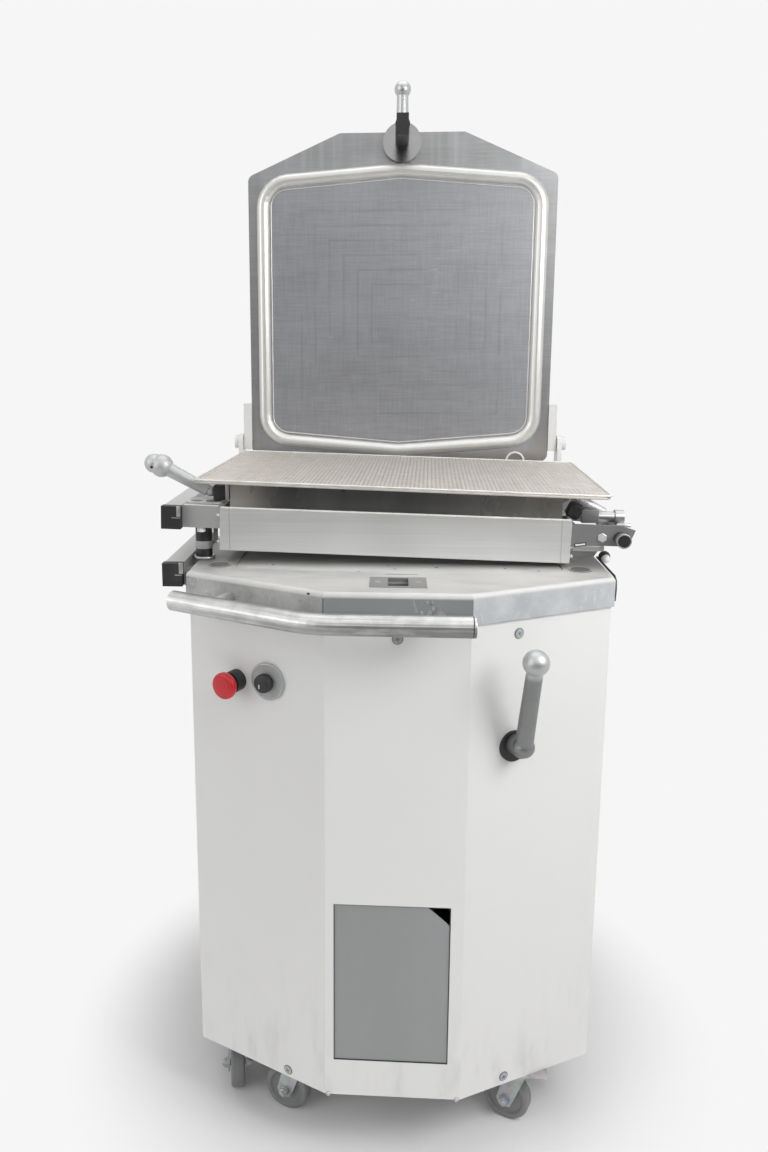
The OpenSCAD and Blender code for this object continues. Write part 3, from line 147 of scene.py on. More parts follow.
class DividerFittings(bpy.types.PropertyGroup):
    """Sizes of the fittings that are added to the model"""

    mesh_across: count("Mesh across", "Mesh cells along the tray's width", 96, 110)
    mesh_deep: count("Mesh deep", "Mesh cells along the tray's depth", 50, 70)
    mesh_wire: length("Mesh wire", "Width of a mesh strand", 0.0040)
    mesh_flat: number("Mesh flatness", "Height of a strand per width", 0.25, subtype="FACTOR", min=0.05, max=1)
    rim_wire: length("Rim wire", "Radius of the tray's bright rim wire", 0.0016)
    rim_band: length("Rim band", "Radius of the wire under the rim", 0.0020)
    rim_corner: length("Rim corner", "Corner radius of the tray's rim", 0.012)
    screw_head: length("Screw head", "Radius of a panel screw's head", 0.0062)
    screw_rise: length("Screw rise", "Height of a panel screw's head", 0.0030)
    # Radius of the apron's bright edge wire, a painted edge highlight
    lip: length("Lip", "Radius of the rolled lips", 0.0018)
    # Radius of the black loop of painted shade round the access panel
    seal: length("Seal", "Radius of the panel's seal", 0.0009)
    tread_round: length("Tread rounding", "Rounding of a wheel's tread", 0.0045)


class DividerStage(bpy.types.PropertyGroup):
    """Camera and light"""

    camera_at: FloatVectorProperty(
        name="Camera", description="Place of the camera", default=(-0.0057, -1.5162, 1.1792), unit="LENGTH",
    )
    camera_yaw: number("Yaw", "Turn of the camera to the right", math.radians(-3.55), unit="ROTATION")
    camera_pitch: number("Pitch", "How far the camera looks down", math.radians(10.7), unit="ROTATION")
    camera_lens: number("Lens", "Focal length", 29.69, unit="CAMERA")
    camera_shift: FloatVectorProperty(name="Shift", description="Lens shift", default=(0.0411, -0.0440), size=2)
    key_power: number("Key", "Power of the key light", 12.5, unit="POWER")
    front_power: number("Front", "Power of the large front light", 18, unit="POWER")
    fill_power: number("Fill", "Power of the fill light", 27, unit="POWER")
    top_power: number("Top", "Power of the top light", 28, unit="POWER")
    surround: number("Surround", "Brightness of the room", 0.38, subtype="FACTOR", min=0, max=1)
    front_wall: number("Front wall", "Brightness of the front wall", 0.16, subtype="FACTOR", min=0, max=1)
    backdrop: colour("Backdrop", "Colour of the floor and of the background", (0.93, 0.92, 0.925))
    far_floor: colour("Far floor", "Colour of the floor behind the camera", (0.06, 0.06, 0.06))
    fade_from: length("Fade from", "Distance at which the floor starts to run out into the background", 0.36)
    fade_to: length("Fade to", "Distance at which the floor has run out", 0.58)


def maths(operation, swapped=False):
    """A method of Wire that adds a Math node, swapped for a reflected operator."""

    def method(self, other=0):
        pair = (other, self) if swapped else (self, other)
        return self.graph.node("ShaderNodeMath", {"operation": operation}, dict(enumerate(pair)))

    return method


class Wire:
    """A shader socket that takes part in Python arithmetic."""

    def __init__(self, graph, socket):
        self.graph, self.socket = graph, socket

    __add__, __radd__ = maths("ADD"), maths("ADD", True)
    __sub__, __rsub__ = maths("SUBTRACT"), maths("SUBTRACT", True)
    __mul__, __rmul__ = maths("MULTIPLY"), maths("MULTIPLY", True)
    __truediv__, __rtruediv__ = maths("DIVIDE"), maths("DIVIDE", True)
    __lt__, __gt__, __abs__ = maths("LESS_THAN"), maths("GREATER_THAN"), maths("ABSOLUTE")
    larger, root, to_and_fro = maths("MAXIMUM"), maths("SQRT"), maths("PINGPONG")

    def over(self, low, high):
        """0 below low, 1 above high, smooth between."""
        return self.graph.node(
            "ShaderNodeMapRange",
            {"interpolation_type": "SMOOTHSTEP"},
            {"Value": self, "From Min": low, "From Max": high},
        )


class Graph:
    """The nodes of a material, ending in a Principled shader, or of a world."""

    def __init__(self, owner):
        owner.use_nodes = True
        self.tree = owner.node_tree
        self.shader = self.tree.nodes.get("Principled BSDF")

    def node(self, kind, settings=None, sockets=None, out=0):
        """Adds a node: settings first, then a value or a link for each socket."""
        made = self.tree.nodes.new(kind)
        for key, value in (settings or {}).items():
            setattr(made, key, value)
        for key, value in (sockets or {}).items():
            self.feed(made.inputs[key], value)
        return Wire(self, made.outputs[out])

    def feed(self, socket, value):
        """Links a wire to a socket, or sets its value."""
        if isinstance(value, Wire):
            self.tree.links.new(value.socket, socket)
        else:
            socket.default_value = value

    def shade(self, **sockets):
        """Feeds the Principled shader; a name's underscore stands for a space."""
        for key, value in sockets.items():
            self.feed(self.shader.inputs[key.replace("_", " ")], value)

    def close(self, shader, output):
        """Ends the nodes in a shader of their own."""
        self.feed(self.tree.nodes[output].inputs["Surface"], shader)

    def place(self, stretch=(1, 1, 1), turn=(0, 0, 0)):
        """Object coordinates, stretched and turned."""
        where = self.node("ShaderNodeTexCoord", out="Object")
        return self.node("ShaderNodeMapping", None, {"Vector": where, "Scale": stretch, "Rotation": turn})

    def split(self):
        """The three object coordinates as values."""
        where = self.node("ShaderNodeTexCoord", out="Object")
        parts = self.node("ShaderNodeSeparateXYZ", None, {"Vector": where})
        return [Wire(self, socket) for socket in parts.socket.node.outputs]

    def ray(self, kind):
        """1 for rays of one kind, 0 for all others."""
        return self.node("ShaderNodeLightPath", out=f"Is {kind} Ray")

    def noise(self, scale, detail=3, rough=0.55, stretch=(1, 1, 1), turn=(0, 0, 0)):
        """Fractal noise from 0 to 1."""
        where = self.place(stretch, turn)
        sockets = {"Vector": where, "Scale": scale, "Detail": detail, "Roughness": rough}
        return self.node("ShaderNodeTexNoise", None, sockets)

    def cells(self, scale, stretch=(1, 1, 1), out=0):
        """Distance to the nearest of many spots, or each cell's own colour."""
        return self.node("ShaderNodeTexVoronoi", None, {"Vector": self.place(stretch), "Scale": scale}, out)

    def mix(self, factor, first, second):
        """A colour between two colours."""
        made = self.tree.nodes.new("ShaderNodeMix")
        made.data_type = "RGBA"
        made.clamp_factor = True
        for place, value in ((0, factor), (6, first), (7, second)):
            self.feed(made.inputs[place], value if isinstance(value, (Wire, float, int)) else (*value, 1))
        return Wire(self, made.outputs[2])

    def tones(self, factor, shade, low, high):
        """A colour between two brightnesses of one shade."""
        return self.mix(factor, darker(shade, low), darker(shade, high))

    def layers(self, base, *coats):
        """Lays colours over a base, one after the other, each by its own factor."""
        for factor, coat in coats:
            base = self.mix(factor, base, coat)
        return base

    def bump(self, height, strength, distance=0.0002):
        """A bumped normal from a height."""
        sockets = {"Height": height, "Strength": strength, "Distance": distance}
        self.shade(Normal=self.node("ShaderNodeBump", None, sockets))


def darker(shade, share):
    """A colour at a share of its brightness."""
    return tuple(part * share for part in shade)


def powder_coat(graph, shade):
    """Sprayed white coat: fine peel, faint blotches, grime towards the floor."""
    blotch = graph.noise(6, 4)
    grime = graph.noise(38, 5, stretch=(1, 1, 0.25))
    low = 1 - graph.split()[2].over(0.10, 0.34)
    stain = grime.over(0.50, 0.78) * low * 0.30 + blotch.over(0.45, 0.8) * 0.05
    graph.shade(Base_Color=graph.tones(stain, shade, 1, 0.55), Roughness=0.30 + blotch * 0.16, Coat_Weight=0.12)
    graph.bump(graph.noise(900, 2), 0.10)


def brushed(graph, shade, along, metallic=0.85, rough=0.33, contrast=0.30):
    """Brushed metal with its lines along one axis, and a few wider streaks; returns its colour."""
    axis = "XYZ".index(along)
    fine, wide = [420.0] * 3, [26.0] * 3
    fine[axis], wide[axis] = 3.0, 1.2
    lines = graph.noise(1, 4, 0.7, fine)
    streaks = graph.noise(1, stretch=wide)
    smudge = graph.noise(9, 4)
    tone = lines * 0.55 + streaks * 0.25 + smudge * 0.20
    base = graph.tones(tone, shade, 1 - contrast, 1 + contrast * 0.8)
    graph.shade(Base_Color=base, Metallic=metallic, Roughness=rough + (lines - 0.5) * 0.22 + smudge * 0.10)
    graph.bump(lines, 0.05)
    return base


def folded_apron(graph, shade):
    """Brushed apron with a fold line near each end, painted dark as the shade in the crease."""
    plain = brushed(graph, shade, "X", 0.72, 0.36, 0.20)
    across, back, _ = graph.split()
    low, high = level_box("head_frame")
    fold = 1 - abs(across - low.x - 0.0145).over(0.0002, 0.0009)
    fold = fold + 1 - abs(across - high.x + 0.0140).over(0.0002, 0.0009)
    # The fold lines are painted shade in the creases, uneven along them.
    worn = fold * (back < low.y + 0.002) * (0.25 + graph.noise(30) * 0.4)
    graph.shade(Base_Color=graph.mix(worn, plain, darker(shade, 0.40)))


def lid_plate_finish(graph, shade):
    """Lid: cross-brushed, nested wear rectangles inside the bead, streaked margins, a painted sheen near the
    top, a stained foot.
    """
    across, _, up = graph.split()
    flat = graph.noise(1, 4, 0.7, (18.0, 200.0, 360.0))
    upright = graph.noise(1, 4, 0.7, (360.0, 200.0, 18.0))
    cloud = graph.noise(7, 5)
    wide = graph.noise(1, stretch=(1.6, 1.0, 34.0))
    low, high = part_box("lid_bead")
    middle, half = (low.z + high.z) / 2, high.x
    plate_low, plate_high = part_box("lid_plate")
    # The larger of the two distances from the middle draws nested rectangles
    box = abs(across).larger(abs(up - middle)) + (cloud - 0.5) * 0.003
    pitch = 0.0130
    ring = 1 - (box.to_and_fro(pitch) / pitch).over(0.0, 0.26)
    nick = graph.noise(1, 2, stretch=(26.0, 40.0, 520.0)).over(0.66, 0.72) * cloud.over(0.50, 0.60)
    broken = graph.noise(1, stretch=(9.0, 9.0, 9.0)).over(0.42, 0.62)
    marks = ring * broken * (1 - box.over(half * 0.70, half * 0.80))
    inside = 1 - box.over(half * 0.93, half * 0.99)
    margin = 1 - inside
    foot = 1 - up.over(plate_low.z, plate_low.z + 0.11)
    crown = up.over(plate_high.z - 0.12, plate_high.z - 0.03)
    streak = graph.noise(1, 4, stretch=(70.0, 1.0, 2.2)).over(0.45, 0.75) * margin
    lines = flat.over(0.22, 0.78) * 0.26 + upright.over(0.22, 0.78) * 0.20 * inside
    tone = lines + wide * 0.24 + cloud * 0.30
    base = graph.mix(inside, darker(shade, 0.96), (shade[0] * 0.83, shade[1] * 0.84, shade[2] * 0.89))
    base = graph.layers(
        graph.mix(tone, graph.mix(0.42, base, (0, 0, 0)), graph.mix(0.18, base, (1, 1, 1))),
        (marks * 0.26, darker(shade, 0.42)),
        (nick * inside * 0.50, (0.80, 0.80, 0.80)),
        # A paler band near the top is painted sheen; the streaks in the margins are marks.
        (streak * 0.30 + crown * cloud.over(0.3, 0.7) * 0.30, (0.62, 0.63, 0.65)),
        (foot * margin * cloud.over(0.30, 0.70) * 0.60, (0.40, 0.35, 0.29)),
    )
    graph.shade(Base_Color=base, Metallic=0.74, Roughness=0.36 + flat * 0.16 + marks * 0.06 - margin * 0.10)
    graph.bump(flat + marks * 0.4, 0.08)


def polished_side(graph, shade):
    """Polished sheet: a painted dark reflection in the middle, paler towards both ends, the right end as a
    painted warm reflection.
    """
    low, high = level_box("cassette")
    across = graph.split()[0]
    smudge = graph.noise(15, 4, stretch=(1.0, 1.0, 0.4))
    left = 1 - across.over(low.x + 0.006, low.x + 0.105)
    right = across.over(high.x - 0.240, high.x - 0.020)
    # Paler towards both ends; the warm right end is a painted reflection.
    dull = left * left * 0.95 + right * 0.44 * (0.75 + smudge * 0.5)
    # The dark middle tones are a painted reflection of the dim front.
    base = graph.mix(dull, graph.tones(smudge, shade, 0.12, 0.32), (0.50, 0.47, 0.44))
    graph.shade(Base_Color=base, Metallic=0.25, Roughness=0.22 + smudge * 0.12)


def worn_table(graph, shade):
    """Cast table: pale mottled top, rubbed edge lightened as wear and painted highlight, dark chips, skirt
    facets in painted lit and shaded tones, a painted shadow under the head.
    """
    across, back, up = graph.split()
    mottle = graph.noise(16, 6, 0.65)
    smear = graph.noise(3, 5, 0.6, (3.0, 9.0, 40.0), (0, 0, 0.3))
    grain = graph.noise(260, stretch=(1.0, 1.0, 6.0))
    seldom = graph.noise(21, 2).over(0.54, 0.60)
    scratch = graph.noise(1, 4, 0.7, (150.0, 150.0, 90.0), (0.0, 0.7, 0.0)).over(0.57, 0.66)
    patch = graph.noise(24).over(0.44, 0.60)
    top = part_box("table_top")[1].z
    level = up.over(top - 0.0010, top - 0.0002)
    upper = up.over(top - 0.0085, top - 0.0050)
    edge, skirt = upper * (1 - level), 1 - upper
    chipped = edge + up.over(top - 0.020, top - 0.012) * 0.6 * (1 - level)
    chip = (1 - graph.cells(46.0, (1.0, 1.0, 1.6)).over(0.08, 0.16)) * seldom * chipped
    plugs_low, plugs_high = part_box("table_plugs")
    plug_y = (plugs_low.y + plugs_high.y) / 2
    # Mask for a painted shadow on the table under and behind the head, from the plugs back.
    inner = back.over(plug_y - 0.020, plug_y + 0.030)
    crease = CREASE + 0.0015
    # A welded seam in the skirt at the left crease
    seam = 1 - abs(across + crease).over(0.0004, 0.0011)
    seam = seam * (1 - up.over(top - 0.010, top - 0.006)) * (back < -0.28)
    centre = skirt * (1 - abs(across).over(crease - 0.001, crease))
    left, right = skirt * (across < -crease), skirt * (across > crease)
    blotch = mottle.over(0.3, 0.7)
    base = graph.layers(
        graph.tones(mottle * 0.50 + smear * 0.30 + grain * 0.20, shade, 0.70, 1.36),
        (level * smear.over(0.35, 0.60) * 0.65, (0.74, 0.725, 0.70)),
        # The skirt is one metal painted facet by facet: the middle dark and bluish as a painted reflection, the
        # left dark as painted shade, the right bluish grey; their blotches are mottle.
        (centre * 0.80, (0.215, 0.235, 0.245)),
        (left * 0.74, graph.mix(blotch, (0.17, 0.175, 0.18), (0.42, 0.42, 0.41))),
        (right * 0.55, graph.mix(blotch, (0.44, 0.48, 0.52), (0.66, 0.69, 0.73))),
        # The rubbed edge is painted lighter, partly as wear and partly as a painted highlight.
        (edge * 0.50, graph.mix(mottle, (0.52, 0.52, 0.51), (0.86, 0.85, 0.83))),
        (scratch * patch * skirt * 0.42, (0.80, 0.80, 0.78)),
        # Painted shadow under the head.
        (inner * 0.62, (0.16, 0.165, 0.17)),
        (chip * 0.90 + seam * 0.8, (0.055, 0.05, 0.045)),
    )
    graph.shade(Base_Color=base, Metallic=0.56 - chip * 0.5, Roughness=0.38 + mottle * 0.22 + edge * 0.28)
    graph.bump(grain * 0.4 + mottle * 0.4 - chip * 1.6 - seam, 0.18, 0.0006)


def table_plug(graph, shade):
    """Turned plug: dark, with a painted highlight ring at its rim."""
    across, back, _ = graph.split()
    low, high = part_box("table_plugs")
    radius = (high.y - low.y) / 2
    dx, dy = abs(across) - (high.x - radius), back - (low.y + high.y) / 2
    away = (dx * dx + dy * dy).root() / radius
    turned = graph.noise(240, 2)
    # A painted highlight ring round the rim.
    rim = away.over(0.84, 0.92) * (1 - away.over(0.95, 0.99))
    base = graph.mix(rim * 0.8, graph.tones(turned, shade, 0.16, 0.30), darker(shade, 1.3))
    graph.shade(Base_Color=base, Metallic=0.35, Roughness=0.40 + turned * 0.16)


def bright_bead(graph, shade):
    """Polished bead ring with faint handling marks."""
    rub = graph.noise(60, 4)
    base = graph.tones(rub * 0.5 + graph.noise(8) * 0.5, shade, 0.80, 1.03)
    graph.shade(Base_Color=base, Metallic=0.55, Roughness=0.26 + rub * 0.14)
    graph.bump(rub, 0.03, 0.0003)


def cast_lever(graph, shade, metallic=0.55, rough=0.40):
    """Rumbled cast levers, a little darker where hands have worn them."""
    sand, worn = graph.noise(520), graph.noise(22, 4)
    base = graph.tones(sand * 0.35 + worn * 0.65, shade, 0.78, 1.22)
    graph.shade(Base_Color=base, Metallic=metallic, Roughness=rough + worn * 0.14)
    graph.bump(sand, 0.10)


def valve_cast(graph, shade):
    """Valve lever: the stem painted dark as shade, the ball brighter as painted light, both on one cast metal.
    """
    sand, worn = graph.noise(520), graph.noise(30, 4)
    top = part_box("valve_lever")[1].z
    ball_part = graph.split()[2].over(top - 0.044, top - 0.034)
    base = graph.tones(sand * 0.4 + worn * 0.6, shade, 0.34, 0.58)
    # The ball's brighter tone over the dark stem is painted light and painted shade on one cast metal.
    base = graph.mix(ball_part, base, darker(shade, 0.92))
    graph.shade(Base_Color=base, Metallic=0.70, Roughness=0.34 + worn * 0.12)
    graph.bump(sand, 0.12)


def bent_tube(graph, shade):
    """Handle tube: polished, with drawn streaks along it and a dull, stained underside towards the right."""
    across, _, up = graph.split()
    low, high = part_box("push_handle")
    pull = graph.noise(1, 4, stretch=(5.0, 5.0, 330.0))
    stain = graph.noise(1, 5, stretch=(12.0, 12.0, 60.0))
    blotch = graph.noise(34, 5, 0.65, (1.0, 1.0, 1.6))
    under = 1 - up.over(low.z + 0.009, low.z + 0.015)
    worn = under * across.over(low.x, high.x * 0.5) * stain.over(0.30, 0.52)
    tone = pull * 0.40 + stain * 0.25 + blotch * 0.35
    base = graph.mix(worn * 0.75, graph.tones(tone.over(0.25, 0.75), shade, 0.50, 1.36), darker(shade, 0.26))
    graph.shade(Base_Color=base, Metallic=0.85, Roughness=0.24 + stain * 0.22)
    graph.bump(pull, 0.06)


def dull_mesh(graph, shade):
    """Tray wire, oxidised and greasy."""
    spots, fine = graph.noise(55, 5), graph.noise(700, 2)
    base = graph.tones(spots * 0.7 + fine * 0.3, shade, 0.70, 1.34)
    graph.shade(Base_Color=base, Metallic=0.45, Roughness=0.46 + spots * 0.16)
    graph.bump(fine, 0.08)


def moulded(graph, shade, rough=0.46, grain=0.10):
    """Moulded plastic or rubber: fine grain, a little dust."""
    dust = graph.noise(34, 5)
    dusty = tuple(part * 0.88 + 0.020 for part in shade)
    graph.shade(Base_Color=graph.mix(dust.over(0.42, 0.75), shade, dusty), Roughness=rough + dust * 0.14)
    graph.bump(graph.noise(820, 2), grain)


def glossy_red(graph, shade):
    """Glossy button, faintly scuffed on its crown."""
    scuff = graph.noise(130, 4)
    base = graph.mix(scuff.over(0.55, 0.8) * 0.25, shade, (0.72, 0.10, 0.09))
    graph.shade(Base_Color=base, Roughness=0.26 + scuff * 0.16, Coat_Weight=0.15)


def tread_rubber(graph, shade):
    """Grey tread with scuffs and floor dirt on the running face."""
    scuff, dirt = graph.noise(90, 5), graph.noise(24, 4)
    base = graph.tones(dirt.over(0.4, 0.7) * 0.5 + scuff * 0.2, shade, 1, 0.55)
    graph.shade(Base_Color=base, Roughness=0.55 + scuff * 0.2)
    graph.bump(scuff, 0.12, 0.0004)


def plated(graph, shade):
    """Zinc-plated pressings with spangle and grime."""
    grime = graph.noise(48, 5)
    base = graph.mix(0.12, shade, graph.cells(160.0, out="Color"))
    base = graph.mix(grime.over(0.45, 0.8) * 0.6, base, darker(shade, 0.42))
    graph.shade(Base_Color=base, Metallic=0.75, Roughness=0.36 + grime * 0.24)


def flat_panel(graph, shade):
    """Sprayed panel with dust and light streaks."""
    dust = graph.noise(18, 5, stretch=(1, 1, 0.3))
    graph.shade(Base_Color=graph.tones(dust * 0.7, shade, 0.90, 1.12), Roughness=0.36 + dust * 0.14)
    graph.bump(graph.noise(800, 2), 0.08)


FINISHES = {}


def make_finishes(tint):
    """Builds every finish once, under its own name: a recipe, its shade and what else the recipe takes."""
    steel = tint.brushed
    recipes = {
        "cabinet_coat": (powder_coat, tint.white),
        "panel_grey": (flat_panel, tint.panel),
        "apron_steel": (folded_apron, darker(steel, 1.42)),
        "bracket_steel": (brushed, darker(steel, 0.76), "X", 0.45, 0.46, 0.10),
        "rail_steel": (brushed, steel, "Y"),
        "cassette_steel": (polished_side, steel),
        "chrome": (brushed, darker(steel, 0.86), "X", 0.85, 0.27, 0.16),
        "pale_zinc": (brushed, darker(tint.zinc, 1.3), "Z", 0.35, 0.34, 0.16),
        "hub_steel": (brushed, darker(steel, 0.75), "Y", 1.0, 0.10),
        "striker_steel": (brushed, darker(steel, 0.62), "X", 0.6, 0.40),
        "plug_steel": (table_plug, tint.table),
        "lid_plate": (lid_plate_finish, tint.lid),
        "bead_bright": (bright_bead, tint.bead),
        "table_cast": (worn_table, tint.table),
        "lever_cast": (cast_lever, tint.lever),
        "lever_dark": (valve_cast, tint.lever),
        "lever_bright": (cast_lever, darker(tint.lever, 0.98), 0.85, 0.26),
        "handle_tube": (bent_tube, steel),
        "tray_mesh": (dull_mesh, tint.tray),
        "tray_rim": (dull_mesh, darker(tint.bead, 0.95)),
        "dark_plate": (brushed, tint.dark, "X", 0.7, 0.42),
        "black_steel": (moulded, tint.black, 0.30, 0.04),
        "black_plastic": (moulded, tint.black),
        "stop_red": (glossy_red, tint.red),
        "switch_disc": (flat_panel, darker(tint.zinc, 0.86)),
        "wheel_tread": (tread_rubber, tint.wheel),
        "zinc": (plated, tint.zinc),
        "machine_grey": (flat_panel, darker(tint.panel, 0.8)),
        "mark_white": (moulded, darker(tint.white, 1.05), 0.46, 0.02),
    }
    for name, (recipe, shade, *options) in recipes.items():
        FINISHES[name] = bpy.data.materials.new(name)
        recipe(Graph(FINISHES[name]), tuple(shade), *options)


NODE_FINISH = {
    "cabinet_coat": "front_panel rear_panel lid_arms hinge_uprights hinge_pins",
    "panel_grey": "access_panel",
    "apron_steel": "head_frame",
    "bracket_steel": "head_bracket oval_plate",
    "striker_steel": "striker_plate",
    "rail_steel": "upper_rail lower_rail hinge_lugs ram",
    "chrome": "pull_pin",
    "cassette_steel": "cassette knife_grid",
    "hub_steel": "latch_hub",
    "lid_plate": "lid_plate",
    "bead_bright": "lid_bead",
    "table_cast": "table_top press_plate",
    "plug_steel": "table_plugs",
    "lever_cast": "clamp_lever",
    "lever_dark": "valve_lever",
    "lever_bright": "latch_lever",
    "handle_tube": "push_handle",
    "tray_mesh": "mesh_tray",
    "dark_plate": "hinge_plates",
    "black_steel": "latch_bolt head_pin rest_post",
    "black_plastic": "upper_cap lower_cap lever_bush guide_block estop_collar start_knob cable_gland "
                     "lever_grommet plate_seal",
    "stop_red": "estop_head",
    "switch_disc": "start_plate",
    "wheel_tread": " ".join("wheel_" + name for name in WHEELS),
    "zinc": " ".join(["caster_plates", *("fork_" + name for name in WHEELS)]),
    "machine_grey": "base_frame tank valve_block oil_tank pump_unit cylinder",
}


def take(*pieces):
    """Object mode with only these pieces selected and the first of them active."""
    if bpy.context.mode != "OBJECT":
        bpy.ops.object.mode_set(mode="OBJECT")
    bpy.ops.object.select_all(action="DESELECT")
    for piece in pieces:
        piece.select_set(True)
    if pieces:
        bpy.context.view_layer.objects.active = pieces[0]


def begin(name, primitive, **options):
    """Adds a primitive as the start of a piece and opens it for editing."""
    take()
    primitive(**options)
    piece = bpy.context.object
    piece.name = name
    bpy.ops.object.mode_set(mode="EDIT")
    return piece


def pick(piece, test, kind="FACE"):
    """Selects the faces or edges whose middle, and normal or run, pass the test."""
    bpy.ops.mesh.select_mode(type=kind)
    bpy.ops.mesh.select_all(action="DESELECT")
    mesh = bmesh.from_edit_mesh(piece.data)
    if kind == "FACE":
        for face in mesh.faces:
            face.select_set(test(face.calc_center_median(), face.normal))
    else:
        for edge in mesh.edges:
            ends = [vert.co for vert in edge.verts]
            edge.select_set(test((ends[0] + ends[1]) / 2, ends[1] - ends[0]))
    mesh.select_flush_mode()
    bmesh.update_edit_mesh(piece.data)


def pick_top(piece):
    """Selects the faces that look up."""
    pick(piece, lambda middle, normal: normal.z > 0.9)


def modify(piece, kind, **settings):
    """Adds a modifier and applies it."""
    take(piece)
    made = piece.modifiers.new(kind.title(), kind)
    for key, value in settings.items():
        setattr(made, key, value)
    bpy.ops.object.modifier_apply(modifier=made.name)


def smooth(piece, angle=SHARP):
    """Leaves edit mode and shades smooth below an angle."""
    take(piece)
    bpy.ops.object.shade_smooth_by_angle(angle=math.radians(angle))
    return piece


def settle(piece, place=None):
    """Moves a piece to its place and puts that place into its mesh."""
    take(piece)
    if place is not None:
        piece.matrix_world = place
    bpy.ops.object.transform_apply(location=True, rotation=True, scale=True)
    return piece


def joined(pieces):
    """Several pieces as one, under the name of the first."""
    take(*pieces)
    if len(pieces) > 1:
        bpy.ops.object.join()
    return pieces[0]


def twin(piece, name=""):
    """A copy of a finished piece with a mesh of its own."""
    part = piece.copy()
    part.name = name or part.name
    part.data = piece.data.copy()
    bpy.context.scene.collection.objects.link(part)
    return part


def copies(piece, places):
    """Copies of a finished piece at each place, joined into one piece; the pattern is used up."""
    parts = [settle(twin(piece), place) for place in places]
    bpy.data.objects.remove(piece)
    return joined(parts)


def dress(piece, finish, slot, body):
    """Gives a piece its finish and the body it moves with; the slot is not used."""
    piece.data.materials.clear()
    piece.data.materials.append(FINISHES[finish])
    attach(piece, body)


def put(piece, place, *dressing):
    """Settles a piece at its place and dresses it."""
    dress(settle(piece, place), *dressing)


def spread(piece, places, *dressing):
    """Copies a piece to its places and dresses the result."""
    dress(copies(piece, places), *dressing)


def at(point):
    """A place at a point, unturned."""
    return Matrix.Translation(point)


def facing(point, normal, up=UP):
    """A place whose z axis is the normal and whose y axis is as near up as it can be."""
    z = Vector(normal).normalized()
    x = Vector(up).cross(z)
    x = x.normalized() if x.length > 1e-6 else Vector(RIGHT)
    return at(point) @ Matrix((x, z.cross(x), z)).transposed().to_4x4()


def on_head(point):
    """A point of the level head, as it rests."""
    return HEAD_PIN + HEAD_LEAN.to_3x3() @ (Vector(point) - HEAD_PIN)


def on_facet(side, across, height):
    """A place on a slanted facet, facing out, at a distance from the middle of the cabinet."""
    out = RIGHT_OUT if side > 0 else LEFT_OUT
    corner = Vector((side * CREASE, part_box("front_panel")[0].y, height))
    run = (across - CREASE) / abs(out.y)
    return facing(corner + Vector((-out.y * side * run, abs(out.x) * run, 0)), out)


def block(name, size, round_off=0.0, segments=3):
    """A box with rounded edges, its middle at the origin."""
    piece = begin(name, bpy.ops.mesh.primitive_cube_add, size=1)
    bpy.ops.transform.resize(value=size)
    bpy.ops.object.mode_set(mode="OBJECT")
    if round_off:
        modify(piece, "BEVEL", width=round_off, segments=segments)
        smooth(piece)
    return piece


def turned(piece, round_off):
    """Closes a round piece about z: rims rounded, sides smooth."""
    if round_off:
        rims = {"limit_method": "ANGLE", "angle_limit": math.radians(SHARP)}
        modify(piece, "BEVEL", width=round_off, segments=3, **rims)
    return smooth(piece)


def rod(name, radius, depth, vertices, **options):
    """A plain round or many-sided rod about z, open for editing."""
    shape = bpy.ops.mesh.primitive_cylinder_add
    return begin(name, shape, vertices=vertices, radius=radius, depth=depth, **options)


def barrel(name, radius, depth, round_off=0.0, vertices=40):
    """A round disc or rod with rounded rims, its middle at the origin and its axis along z."""
    return turned(rod(name, radius, depth, vertices), round_off)


def taper(name, foot, tip, depth, vertices, round_off=0.0):
    """A tapered rod, its middle at the origin and its axis along z."""
    shape = bpy.ops.mesh.primitive_cone_add
    return turned(begin(name, shape, vertices=vertices, radius1=foot, radius2=tip, depth=depth), round_off)


def ball(name, radius):
    """A ball at the origin."""
    shape = bpy.ops.mesh.primitive_uv_sphere_add
    return smooth(begin(name, shape, segments=40, ring_count=22, radius=radius), SOFT)


def hoop(name, radius, wire):
    """A round ring, its middle at the origin and its axis along z."""
    shape = bpy.ops.mesh.primitive_torus_add
    sizes = {"major_radius": radius, "minor_radius": wire, "major_segments": 56, "minor_segments": 10}
    return smooth(begin(name, shape, **sizes), SOFT)


def wire_loop(name, points, radius, closed=True):
    """A round wire through the points, as a mesh."""
    line = bpy.data.curves.new(name, "CURVE")
    line.dimensions = "3D"
    line.bevel_depth = radius
    line.bevel_resolution = 3
    line.use_fill_caps = True
    run = line.splines.new("POLY")
    run.points.add(len(points) - 1)
    for point, place in zip(run.points, points):
        point.co = (*place, 1)
    run.use_cyclic_u = closed
    piece = bpy.data.objects.new(name, line)
    bpy.context.scene.collection.objects.link(piece)
    take(piece)
    bpy.ops.object.convert(target="MESH")
    return bpy.context.object


def smooth_wire(*shape):
    """A round wire with smooth shading."""
    return smooth(wire_loop(*shape), SOFT)


def rounded(corners, radius, steps=8):
    """A closed outline with arcs at its corners, in its own plane."""
    line = []
    for place, here in enumerate(corners):
        before, after = corners[place - 1], corners[(place + 1) % len(corners)]
        to_before, to_after = (before - here).normalized(), (after - here).normalized()
        half = to_before.angle(to_after) / 2
        middle = here + (to_before + to_after).normalized() * radius / math.sin(half)
        first = here + to_before * radius / math.tan(half) - middle
        last = here + to_after * radius / math.tan(half) - middle
        for step in range(steps + 1):
            line.append(middle + first.normalized().slerp(last.normalized(), step / steps) * radius)
    return line


